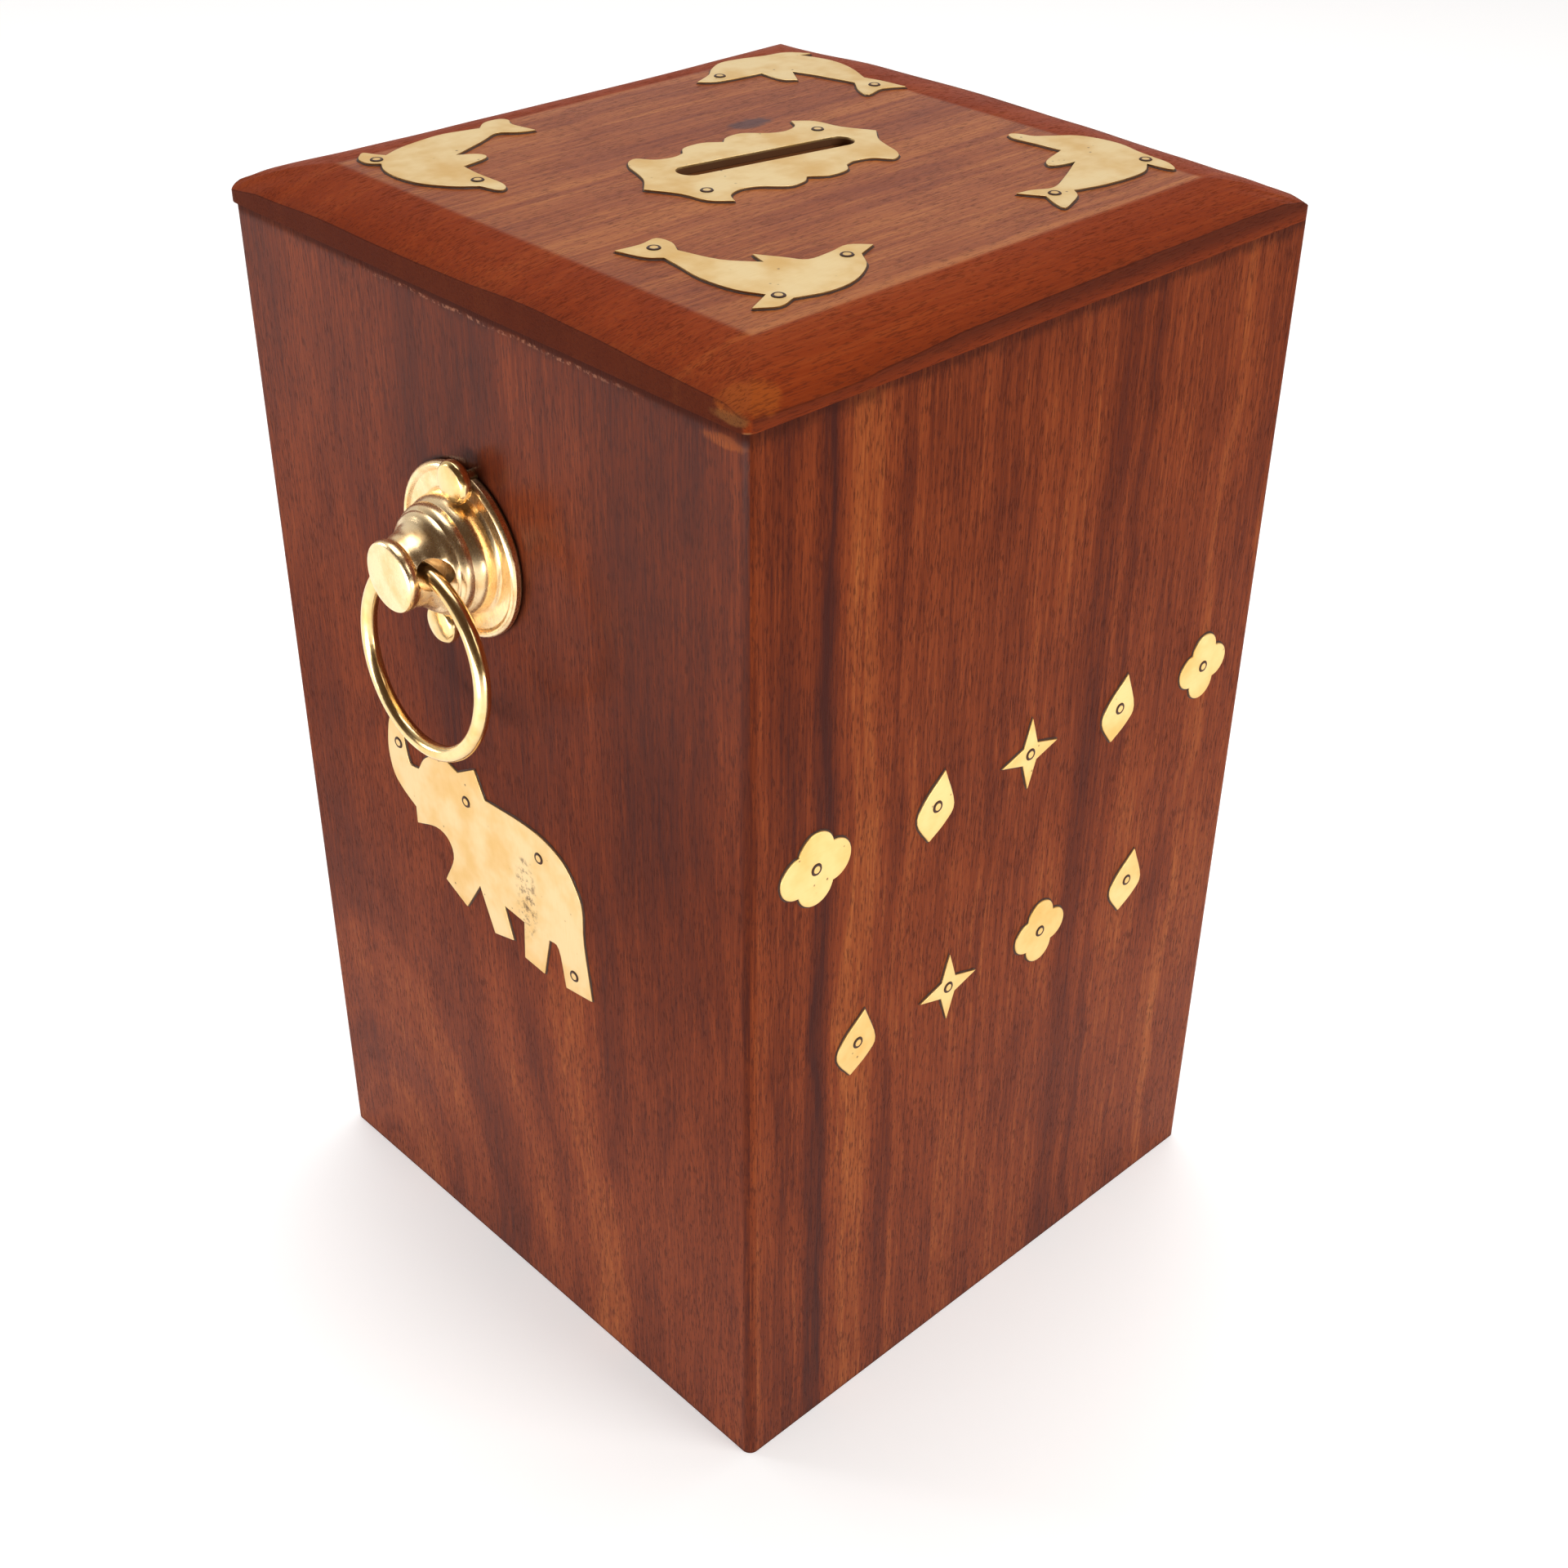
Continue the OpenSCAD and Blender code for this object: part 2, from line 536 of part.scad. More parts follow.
// ---- hasp and staple, across the door's +X edge -------------------------------------
hasp_h = 12;
hasp_base_w = 9;
hasp_inset = 11;
hasp_x = door_w / 2 - hasp_inset;          // the hasp's hinge line
hasp_z = door_z + door_h / 2;
strap_len = 28;
strap_t = 1;
strap_gap = 0.3;                           // between the strap and the staple's base plate
staple_from_hasp = 19;
staple_x = hasp_x + staple_from_hasp;      // the staple's middle
staple_screw_at = 4;                       // from the staple's middle to each screw
staple_t = 2;                              // thickness of the staple's upright lug
staple_w = 8;
staple_base = [16, 12, 0.8];
eye_out = 6.2;                             // the eye's axis, out from the back face
eye_r = 2.3;
strap_slot = [11, 3.6];                    // takes the lug, with room for the door's swing
module at_hasp() { translate([hasp_x, body_w / 2 + hinge_out, hasp_z]) children(); }
module hasp_base_leaf() { color(brass) at_hasp() hinge_leaf(-1, hasp_base_w, hasp_h); }
// The strap lies just above the staple's base plate and drops over its lug
module hasp_strap() {
  share = hasp_h / knuckle_count;
  under = staple_base[2] + strap_gap - hinge_out;
  color(brass) at_hasp() {
    difference() {
      translate([0, under, -hasp_h / 2]) {
        cube([strap_len - hasp_h / 2, strap_t, hasp_h]);
        translate([strap_len - hasp_h / 2, 0, hasp_h / 2]) rotate([-90, 0, 0])
          cylinder(d = hasp_h, h = strap_t);
      }
      cylinder(r = knuckle_r, h = hasp_h + cut, center = true);
      for (z = [-share, share]) translate([0, 0, z])
        cylinder(r = knuckle_r + knuckle_play, h = share + knuckle_play * 2, center = true);
      translate([staple_from_hasp, 0, 0])
        cube([strap_slot[0], 2 * hinge_out, strap_slot[1]], center = true);
    }
    knuckle(0, share - knuckle_play, hinge_pin_r + pin_fit);
  }
}
module hasp_pin() { color(brass) at_hasp() hinge_pin(hasp_h); }
module hasp_screw_set() {
  for (s = [-1, 1])
    translate([hasp_x - hasp_base_w * screw_across, body_w / 2, hasp_z + s * hasp_h * screw_up])
      rotate([-90, 0, 0]) screw_head_and_shank();
}
module hasp_screws() { color(brass) hasp_screw_set(); }
module staple() {
  color(brass) difference() {
    translate([staple_x, body_w / 2, hasp_z]) {
      translate([-staple_base[0] / 2, 0, -staple_base[1] / 2])
        cube([staple_base[0], staple_base[2], staple_base[1]]);
      translate([-staple_w / 2, 0, -staple_t / 2]) cube([staple_w, eye_out, staple_t]);
      translate([0, eye_out, 0]) cylinder(d = staple_w, h = staple_t, center = true);
    }
    translate([staple_x, body_w / 2 + eye_out, hasp_z])
      cylinder(r = eye_r, h = staple_t + 2 * cut, center = true);
    staple_screw_set();
  }
}
// Flush countersunk screws, so that the strap lies flat over them
module staple_screw_set() {
  for (s = [-1, 1])
    translate([staple_x, body_w / 2 + staple_base[2] - screw_len, hasp_z + s * staple_screw_at])
      rotate([-90, 0, 0]) cylinder(r = screw_r, h = screw_len);
}
module staple_screws() { color(brass) staple_screw_set(); }

front_panel();
back_panel();
left_panel();
right_panel();
base_board();
lid_board();
slot_plate();
slot_plate_pins();
near_dolphin();
left_dolphin();
right_dolphin();
far_dolphin();
dolphin_pins();
left_elephant();
right_elephant();
elephant_pins();
front_motif(0);  // front_flower_1
front_motif(1);  // front_leaf_1
front_motif(2);  // front_star_1
front_motif(3);  // front_leaf_2
front_motif(4);  // front_flower_2
front_motif(5);  // front_leaf_3
front_motif(6);  // front_star_2
front_motif(7);  // front_flower_3
front_motif(8);  // front_leaf_4
front_motif_pins();
left_pull_plate();
right_pull_plate();
left_pull_pins();
right_pull_pins();
left_ring();
right_ring();
door_panel();
upper_hinge_frame_leaf();
upper_hinge_door_leaf();
upper_hinge_pin();
lower_hinge_frame_leaf();
lower_hinge_door_leaf();
lower_hinge_pin();
hinge_frame_screws();
hinge_door_screws();
hasp_base_leaf();
hasp_strap();
hasp_pin();
hasp_screws();
staple();
staple_screws();
lid_brads();
base_brads();
corner_brads();
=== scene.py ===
"""Looks of the wooden money box: materials, worn and softened edges, light and camera.

Lengths are in metres unless a name ends in _MM or _mm. Materials work in millimetres of the
box's own frame, so that a pattern's size can be read off directly.
"""
import json
import math

import bmesh
import bpy
from mathutils import Matrix, Vector, noise

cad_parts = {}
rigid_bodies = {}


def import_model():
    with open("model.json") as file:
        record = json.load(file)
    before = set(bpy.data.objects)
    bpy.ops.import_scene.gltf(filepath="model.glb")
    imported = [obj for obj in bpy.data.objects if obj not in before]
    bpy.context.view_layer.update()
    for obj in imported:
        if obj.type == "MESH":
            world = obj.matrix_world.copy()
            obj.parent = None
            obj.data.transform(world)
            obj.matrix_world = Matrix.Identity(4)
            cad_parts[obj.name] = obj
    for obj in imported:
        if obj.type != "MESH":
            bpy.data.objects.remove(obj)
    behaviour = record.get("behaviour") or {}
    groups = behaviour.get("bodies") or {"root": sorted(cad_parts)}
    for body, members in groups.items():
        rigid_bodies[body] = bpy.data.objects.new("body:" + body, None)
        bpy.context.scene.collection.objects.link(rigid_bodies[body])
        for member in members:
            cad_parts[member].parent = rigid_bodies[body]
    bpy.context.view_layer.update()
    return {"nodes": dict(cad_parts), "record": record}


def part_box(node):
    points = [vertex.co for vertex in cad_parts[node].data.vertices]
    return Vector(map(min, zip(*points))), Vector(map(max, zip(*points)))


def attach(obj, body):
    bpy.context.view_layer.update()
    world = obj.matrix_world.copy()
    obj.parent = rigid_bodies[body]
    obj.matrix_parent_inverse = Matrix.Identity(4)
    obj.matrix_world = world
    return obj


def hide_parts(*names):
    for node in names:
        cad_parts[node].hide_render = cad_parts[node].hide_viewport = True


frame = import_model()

MM = 0.001
WELD_DISTANCE = 1e-6
NODES = frame["nodes"]
SLOT_OF = {row["node"]: row["material_slot"] for row in frame["record"]["subparts"]}

# ---- places taken from the frame ----------------------------------------------------
BODY_HALF = -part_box("front_panel")[0].y
BODY_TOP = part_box("front_panel")[1].z
BASE_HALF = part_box("base_board")[1].x
LID_LOW, LID_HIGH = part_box("lid_board")
LID_TOP = LID_HIGH.z
BRASS_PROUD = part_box("slot_plate")[1].z - LID_TOP
BORDER_MM = 13.0
# the lid is planed flush with the front and right walls, and stands proud of the others
LID_HALF_MM = (LID_HIGH.x + BODY_HALF) / 2 / MM
LID_SHIFT_MM = (LID_HIGH.x - BODY_HALF) / 2 / MM


# ---- shader writing -----------------------------------------------------------------
def add_node(tree, kind, **settings):
    node = tree.nodes.new(kind)
    for key, value in settings.items():
        setattr(node, key, value)
    return node


class Shader:
    """One material's node tree around a Principled shader."""

    def __init__(self, name, **plain):
        self.material = bpy.data.materials.new(name)
        self.material.use_nodes = True
        self.tree = self.material.node_tree
        self.tree.nodes.clear()
        self.surface = self.add("ShaderNodeBsdfPrincipled")
        output = self.add("ShaderNodeOutputMaterial")
        self.tree.links.new(self.surface.outputs[0], output.inputs["Surface"])
        for socket, value in plain.items():
            self.surface.inputs[socket.replace("_", " ")].default_value = value

    def add(self, kind, **settings):
        return add_node(self.tree, kind, **settings)

    def feed(self, socket, value):
        if isinstance(value, bpy.types.NodeSocket):
            self.tree.links.new(value, socket)
        else:
            socket.default_value = value

    def set(self, name, value):
        self.feed(self.surface.inputs[name], value)

    def math(self, operation, first, second=0.0):
        node = self.add("ShaderNodeMath", operation=operation)
        self.feed(node.inputs[0], first)
        self.feed(node.inputs[1], second)
        return node.outputs[0]

    def total(self, *terms):
        """The sum of (value, weight) pairs."""
        found = None
        for value, weight in terms:
            part = self.math("MULTIPLY", value, weight)
            found = part if found is None else self.math("ADD", found, part)
        return found

    def spread(self, value, low, high, to_low=0.0, to_high=1.0):
        """value eased from the range low..high to the range to_low..to_high."""
        node = self.add("ShaderNodeMapRange", interpolation_type="SMOOTHSTEP")
        for name, number in (
            ("Value", value), ("From Min", low), ("From Max", high),
            ("To Min", to_low), ("To Max", to_high),
        ):
            self.feed(node.inputs[name], number)
        return node.outputs[0]

    def place(self):
        """The point being shaded, in millimetres, as a vector and as its X, Y and Z."""
        node = self.add("ShaderNodeVectorMath", operation="SCALE")
        self.feed(node.inputs[0], self.add("ShaderNodeTexCoord").outputs["Object"])
        node.inputs["Scale"].default_value = 1 / MM
        split = self.add("ShaderNodeSeparateXYZ")
        self.feed(split.inputs[0], node.outputs[0])
        return node.outputs[0], list(split.outputs)

    def vector(self, x, y, z):
        node = self.add("ShaderNodeCombineXYZ")
        for socket, value in zip(node.inputs, (x, y, z)):
            self.feed(socket, value)
        return node.outputs[0]

    def stretched(self, vector, scale):
        node = self.add("ShaderNodeVectorMath", operation="MULTIPLY")
        self.feed(node.inputs[0], vector)
        node.inputs[1].default_value = scale
        return node.outputs[0]

    def noise(self, vector, scale, detail=2.0, rough=0.5):
        node = self.add("ShaderNodeTexNoise")
        self.feed(node.inputs["Vector"], vector)
        for name, value in (("Scale", scale), ("Detail", detail), ("Roughness", rough)):
            node.inputs[name].default_value = value
        return node.outputs[0]

    def line_noise(self, position, scale, detail=2.0):
        """Noise along one number, for streaks and growth rings."""
        node = self.add("ShaderNodeTexNoise", noise_dimensions="1D")
        self.feed(node.inputs["W"], position)
        node.inputs["Scale"].default_value = scale
        node.inputs["Detail"].default_value = detail
        return node.outputs[0]

    def spots(self, vector, scale, size, softness):
        """Small round spots: 1 inside, 0 outside."""
        node = self.add("ShaderNodeTexVoronoi")
        self.feed(node.inputs["Vector"], vector)
        node.inputs["Scale"].default_value = scale
        return self.spread(node.outputs["Distance"], size, size + softness, 1.0, 0.0)

    def ramp(self, value, *stops):
        node = self.add("ShaderNodeValToRGB")
        self.feed(node.inputs[0], value)
        elements = node.color_ramp.elements
        while len(elements) < len(stops):
            elements.new(0.5)
        for element, (position, colour) in zip(elements, stops):
            element.position = position
            element.color = (*colour, 1.0)
        return node.outputs[0]

    def mix(self, share, first, second):
        node = self.add("ShaderNodeMix", data_type="RGBA")
        self.feed(node.inputs[0], share)
        for socket, value in ((node.inputs[6], first), (node.inputs[7], second)):
            self.feed(socket, (*value, 1.0) if isinstance(value, tuple) else value)
        return node.outputs[2]

    def crevice(self, reach_mm, low=0.0, high=0.5, inside=False):
        """1 deep in a corner or beside a raised piece, falling to 0 in the open. It comes from ambient
        occlusion, so darkening a colour by it paints shade.
        """
        node = self.add("ShaderNodeAmbientOcclusion", samples=6, inside=inside)
        node.inputs["Distance"].default_value = reach_mm * MM
        shut = self.math("SUBTRACT", 1.0, node.outputs["AO"])
        return self.spread(shut, low, high)

    def bump(self, height, depth_mm, strength):
        node = self.add("ShaderNodeBump")
        self.feed(node.inputs["Height"], height)
        node.inputs["Strength"].default_value = strength
        node.inputs["Distance"].default_value = depth_mm * MM
        return node.outputs[0]


# ---- wood ---------------------------------------------------------------------------
AXIS = {"X": 0, "Y": 1, "Z": 2}
LACQUERED = (
    (0.06, (0.052, 0.012, 0.008)),
    (0.32, (0.115, 0.021, 0.007)),
    (0.52, (0.185, 0.036, 0.010)),
    (0.72, (0.265, 0.064, 0.016)),
    (0.95, (0.380, 0.118, 0.030)),
)
RAW = (0.330, 0.125, 0.045)
RAW_DARK = (0.160, 0.066, 0.028)
# the dark brown of painted shade: in corners, beside raised pieces, under the lid and on the lid's side
# band and arris
SHADE_BROWN = (0.030, 0.008, 0.005)
PORE = (0.050, 0.012, 0.007)
WORN = (0.470, 0.190, 0.060)
BORDER_RED = (0.285, 0.036, 0.004)
GLUE = (0.480, 0.200, 0.110)
# the dark maroon of the painted shadow below the lid on the left wall
SHADOW_MAROON = (0.050, 0.011, 0.006)
KNOT = (0.060, 0.030, 0.034)
FILLER_BROWN = (0.170, 0.062, 0.018)
STAIN = (0.360, 0.085, 0.012)
ARCH_MM = 75.0                 # height over which the growth rings straighten
WAIST_MM = 115.0               # the middle height in a board's gloss
GLUE_LINE_MM = 199.1           # about 0.6 above the real line, which wanders down from it
FLAT_SHEEN_LIFT = 0.26               # how much paler the lid's flat is painted than its border: a painted sheen
BORDER_STAIN = 0.52
# how strongly the lid's side band and arris are darkened with painted shade
LID_EDGE_SHADE = 0.75


class Board:
    """How one board was cut: its axes, its growth rings and its own marks, in millimetres.

    across and along are axis names. centre is the middle of the growth rings in
    (across, along), and climb is how fast the rings close over along the board.
    bare is (axis, value, side): past it, on that side, the wood was never lacquered.
    streaks are (position across, half width, change), rings are (radius, half width, change)
    and blotches are (centre, radii, colour, strength). The change of tone up a wall, given as
    (low, high, change at low, change at high), is painted shade, and gloss is its lacquer at
    the foot, the middle and the top. fibres are the strength of the long fibres and how fast
    they change along the board. wear is how much its edges are rubbed. flat_half is the half
    width of a lid's flat, which is glossier than its border, is painted paler for its sheen,
    and is bare wood inside the slot. A glued wall has dried glue and a painted shadow below
    the lid.
    """

    def __init__(self, name, across, along, centre, climb, bare, seed, figure=0.6, streaks=(),
                 rings=(), blotches=(), wear=0.0, flat_half=0.0, shade_up_wall=(60.0, 200.0, 0.0, -0.08),
                 gloss=(0.16, 0.07, 0.01), fibres=(0.62, 0.012), glued_and_shaded=False):
        self.name = name
        self.across = across
        self.along = along
        self.centre = centre
        self.climb = climb
        self.bare = bare
        self.seed = seed
        self.figure = figure
        self.streaks = streaks
        self.rings = rings
        self.blotches = blotches
        self.wear = wear
        self.flat_half = flat_half
        self.shade_up_wall = shade_up_wall
        self.gloss = gloss
        self.fibres = fibres
        self.glued_and_shaded = glued_and_shaded


def band(s, value, middle, half_width):
    """1 at the middle, falling softly to 0 at half_width away."""
    off = s.math("ABSOLUTE", s.math("SUBTRACT", value, middle))
    return s.spread(off, half_width * 0.25, half_width, 1.0, 0.0)


def blotch(s, place, centre, radii):
    """A ragged patch: 1 inside an ellipsoid, 0 outside."""
    off = s.add("ShaderNodeVectorMath", operation="SUBTRACT")
    s.feed(off.inputs[0], place)
    off.inputs[1].default_value = centre
    even = s.stretched(off.outputs[0], tuple(1.0 / radius for radius in radii))
    length = s.add("ShaderNodeVectorMath", operation="LENGTH")
    s.feed(length.inputs[0], even)
    distance = s.total((length.outputs["Value"], 1.0), (s.noise(place, 0.7, 3.0), 0.7))
    return s.spread(distance, 0.95, 1.45, 1.0, 0.0)


def growth_rings(s, board, a, b, c):
    """Distance from the heart of the tree: arches low on the board, then straight lines."""
    drift = s.noise(s.vector(s.math("MULTIPLY", a, 0.4), c, b), 0.022, 2.0)
    wander = s.math("MULTIPLY", s.math("SUBTRACT", drift, 0.5), 14.0)
    rise = s.math("SUBTRACT", b, board.centre[1])
    up = s.math("TANH", s.math("DIVIDE", rise, ARCH_MM))
    up = s.math("MULTIPLY", up, ARCH_MM * board.climb)
    side = s.math("SUBTRACT", s.math("ADD", a, wander), board.centre[0])
    squared = s.math("ADD", s.math("MULTIPLY", side, side), s.math("MULTIPLY", up, up))
    return s.math("SQRT", squared), wander


def wood_tone(s, board, a, b, c, fibre):
    """How light the wood is, from 0 to 1, and its long fibres for the relief."""
    ring, wander = growth_rings(s, board, a, b, c)
    shifted = s.math("ADD", ring, board.seed)
    broad = s.line_noise(shifted, 0.085, 1.0)
    middle = s.line_noise(shifted, 0.34, 2.0)
    swayed = s.total((a, 1.0), (wander, 0.15), (board.seed, 1.0))
    strength, change = board.fibres
    fine = s.noise(s.vector(swayed, c, s.math("MULTIPLY", b, change)), 1.5, 4.0, 0.62)
    patches = s.noise(s.vector(swayed, c, s.math("MULTIPLY", b, 0.3)), 0.075, 2.0)
    weights = (0.55 * board.figure, 0.50 * board.figure, strength, 0.58, 0.50)
    tone = s.total(*zip((broad, middle, fine, fibre, patches), weights))
    tone = s.math("ADD", tone, 0.5 - 0.5 * sum(weights))
    for position, half_width, change in board.streaks:
        wavy = s.math("ADD", a, s.math("MULTIPLY", wander, 0.15))
        tone = s.math("ADD", tone, s.math("MULTIPLY", band(s, wavy, position, half_width), change))
    low_down = s.spread(b, 70.0, 125.0, 1.0, 0.0)
    for radius, half_width, change in board.rings:
        share = s.math("MULTIPLY", band(s, ring, radius, half_width), low_down)
        tone = s.math("ADD", tone, s.math("MULTIPLY", share, change))
    # painted shade: each wall's tone changes with height, darker towards the top
    if board.along == "Z":
        tone = s.math("ADD", tone, s.spread(b, *board.shade_up_wall))
    return tone, fine


def reach(s, axes):
    """How far a point is from the middle of the planed lid, measured square."""
    across = s.math("ABSOLUTE", s.math("ADD", axes[0], LID_SHIFT_MM))
    back = s.math("ABSOLUTE", s.math("SUBTRACT", axes[1], LID_SHIFT_MM))
    return s.math("MAXIMUM", across, back)


def flat_mask(s, axes, half):
    """1 over a lid's flat, 0 on its border, with a narrow edge between them."""
    return s.spread(reach(s, axes), half - 0.9, half + 0.9, 1.0, 0.0)


def side_mask(s, axes):
    """1 on the narrow band round the lid's side, 0 above it."""
    return s.spread(reach(s, axes), LID_HALF_MM - 0.35, LID_HALF_MM - 0.10)


def side_shade(s, axes):
    """The painted shade on that band, which is lighter low down on the front."""
    face = LID_SHIFT_MM - LID_HALF_MM
    foot = LID_LOW.z / MM
    front = s.spread(axes[1], face + 0.2, face + 0.4, 1.0, 0.0)
    lighter_front = s.math("MULTIPLY", front, s.spread(axes[2], foot - 0.5, foot + 3.0, 0.55, 0.0))
    return s.math("MULTIPLY", side_mask(s, axes), s.math("SUBTRACT", 1.0, lighter_front))


def arris_shade(s, axes):
    """Painted shade that deepens over the last few millimetres of the lid's border."""
    return s.spread(reach(s, axes), LID_HALF_MM - 4.0, LID_HALF_MM, 0.0, 0.25)


def under_lid_shadow(s, place, axes):
    """Ragged painted shadow on the last few millimetres of a wall under the lid."""
    ragged = s.math("ADD", axes[2], s.math("MULTIPLY", s.noise(place, 0.35, 3.0, 0.6), 4.0))
    return s.spread(ragged, BODY_TOP / MM - 0.8, BODY_TOP / MM + 1.6, 0.0, 0.6)


def stretch_of(s, position, rise, fall, most=1.0):
    """Rises from 0 over one span of a position, and falls back to 0 over another."""
    falling = s.spread(position, *fall, most, 0.0)
    return s.math("MULTIPLY", s.spread(position, *rise), falling)


def glue_and_shadow_masks(s, place, axes):
    """A painted shadow below the lid on the left wall, and pale crumbs of dried glue along its foot."""
    wander = s.math("MULTIPLY", s.noise(place, 0.10, 2.0), 1.2)
    height = s.math("ADD", axes[2], wander)
    lid_shadow = s.spread(height, GLUE_LINE_MM + 0.2, GLUE_LINE_MM + 0.7, 0.0, 0.80)
    lid_shadow = s.math("MULTIPLY", lid_shadow, stretch_of(s, axes[1], (-58.0, -50.0), (35.0, 50.0)))
    crumbs = s.spread(s.noise(place, 1.1, 3.0, 0.7), 0.46, 0.62)
    crumbs = s.math("MULTIPLY", crumbs, stretch_of(s, axes[1], (-48.0, -24.0), (10.0, 34.0), 0.42))
    return lid_shadow, s.math("MULTIPLY", band(s, height, GLUE_LINE_MM, 0.4), crumbs)


def wall_gloss(s, board, height):
    """The lacquer on a wall, which is dull on its last millimetres under the lid."""
    foot, waist, shoulder = board.gloss
    rising = s.spread(height, WAIST_MM, GLUE_LINE_MM - 2.0, 0.0, shoulder - waist)
    gloss = s.math("ADD", s.spread(height, 20.0, WAIST_MM, foot, waist), rising)
    dull = s.spread(height, GLUE_LINE_MM - 1.2, GLUE_LINE_MM + 0.2, 1.0, 0.1)
    return s.math("MULTIPLY", gloss, dull)


def open_pores(s, place, across, along, deep):
    """Short dark dashes along the grain."""
    dashes = s.noise(s.vector(across, deep, s.math("MULTIPLY", along, 0.13)), 3.6, 2.0, 0.6)
    threshold = s.spread(s.noise(place, 0.13, 2.0), 0.3, 0.7, 0.54, 0.47)
    return s.spread(s.math("SUBTRACT", dashes, threshold), 0.0, 0.14)


def lid_stain(s, axes, colour, flat):
    """The colour with the lid's red border, and painted shade on its side band and its arris."""
    stained = s.math("SUBTRACT", BORDER_STAIN, s.math("MULTIPLY", flat, BORDER_STAIN))
    colour = s.mix(stained, colour, BORDER_RED)
    edge_shade = s.math("MAXIMUM", side_shade(s, axes), arris_shade(s, axes))
    return s.mix(s.math("MULTIPLY", edge_shade, LID_EDGE_SHADE), colour, SHADE_BROWN)


def rubbed_edges(s, place, wear):
    """Patches along the edges where the lacquer is worn away."""
    patches = s.spread(s.noise(place, 0.55, 3.0, 0.7), 0.52, 0.64)
    worn = s.math("MULTIPLY", s.crevice(0.7, 0.66, 0.95, inside=True), patches)
    return s.math("MULTIPLY", worn, wear)


def bare_wood(s, board, axes, flat):
    """1 where the wood was never lacquered: inside the box, and in a lid's slot."""
    axis, value, side = board.bare
    ends = (0.0, 1.0) if side > 0 else (1.0, 0.0)
    bare = s.spread(axes[AXIS[axis]], value - 0.15, value + 0.15, *ends)
    if not board.flat_half:
        return bare
    bare = s.math("MULTIPLY", bare, s.math("SUBTRACT", 1.0, side_mask(s, axes)))
    sunk = s.spread(axes[2], LID_TOP / MM - 0.5, LID_TOP / MM - 0.3, 1.0, 0.0)
    return s.math("MAXIMUM", bare, s.math("MULTIPLY", sunk, flat))


def wood(board):
    """Lacquered rosewood, with open pores, painted shade in its corners and bare wood inside the box."""
    s = Shader(board.name, Coat_Roughness=0.22, IOR=1.42, Specular_IOR_Level=0.02)
    place, axes = s.place()
    a = axes[AXIS[board.across]]
    b = axes[AXIS[board.along]]
    c = axes[({0, 1, 2} - {AXIS[board.across], AXIS[board.along]}).pop()]
    flat = flat_mask(s, axes, board.flat_half) if board.flat_half else None
    moved = s.math("ADD", a, board.seed)
    fibre = s.noise(s.vector(moved, c, s.math("MULTIPLY", b, 0.045)), 2.3, 4.0, 0.62)
    pores = open_pores(s, place, moved, b, c)
    tone, fine = wood_tone(s, board, a, b, c, fibre)

    if board.flat_half:
        # painted sheen: the flat is made paler than the border
        colour = s.ramp(s.total((tone, 1.0), (flat, FLAT_SHEEN_LIFT)), *LACQUERED)
        colour = lid_stain(s, axes, colour, flat)
        s.set("Coat Weight", s.spread(flat, 0.0, 1.0, 0.006, 0.24))
    else:
        colour = s.ramp(tone, *LACQUERED)
        s.set("Coat Weight", wall_gloss(s, board, b))
    for centre, radii, stain, strength in board.blotches:
        share = s.math("MULTIPLY", blotch(s, place, centre, radii), strength)
        colour = s.mix(share, colour, stain)
    colour = s.mix(s.math("MULTIPLY", pores, 0.42 if board.flat_half else 0.60), colour, PORE)
    # painted shadow under the lid's overhang on every wall
    if board.along == "Z":
        colour = s.mix(under_lid_shadow(s, place, axes), colour, SHADE_BROWN)
    # on the left wall: a painted shadow below the lid, with pale glue crumbs at its foot
    if board.glued_and_shaded:
        lid_shadow, pale = glue_and_shadow_masks(s, place, axes)
        colour = s.mix(pale, s.mix(lid_shadow, colour, SHADOW_MAROON), GLUE)
    if board.wear:
        colour = s.mix(rubbed_edges(s, place, board.wear), colour, WORN)
    bare = bare_wood(s, board, axes, flat)
    colour = s.mix(bare, colour, s.mix(s.math("MULTIPLY", fibre, 0.8), RAW, RAW_DARK))
    # painted shade: ambient occlusion darkens the wood in corners and beside raised pieces
    crevice_shade = s.crevice(1.4, 0.12, 0.60)
    s.set("Base Color", s.mix(s.math("MULTIPLY", crevice_shade, 0.8), colour, SHADE_BROWN))

    patchy = s.noise(place, 0.09, 3.0)
    rough = s.total((patchy, 0.16), (pores, 0.20), (fibre, 0.12), (bare, 0.25), (1.0, 0.30))
    s.set("Roughness", rough)
    relief = s.total((fibre, 0.35), (pores, -1.0), (fine, 0.15))
    s.set("Normal", s.bump(relief, 0.05, 0.55))
    ripple = s.total((s.noise(place, 0.16, 2.0), 1.0), (pores, -0.12))
    s.set("Coat Normal", s.bump(ripple, 0.16, 0.4))
    return s.material


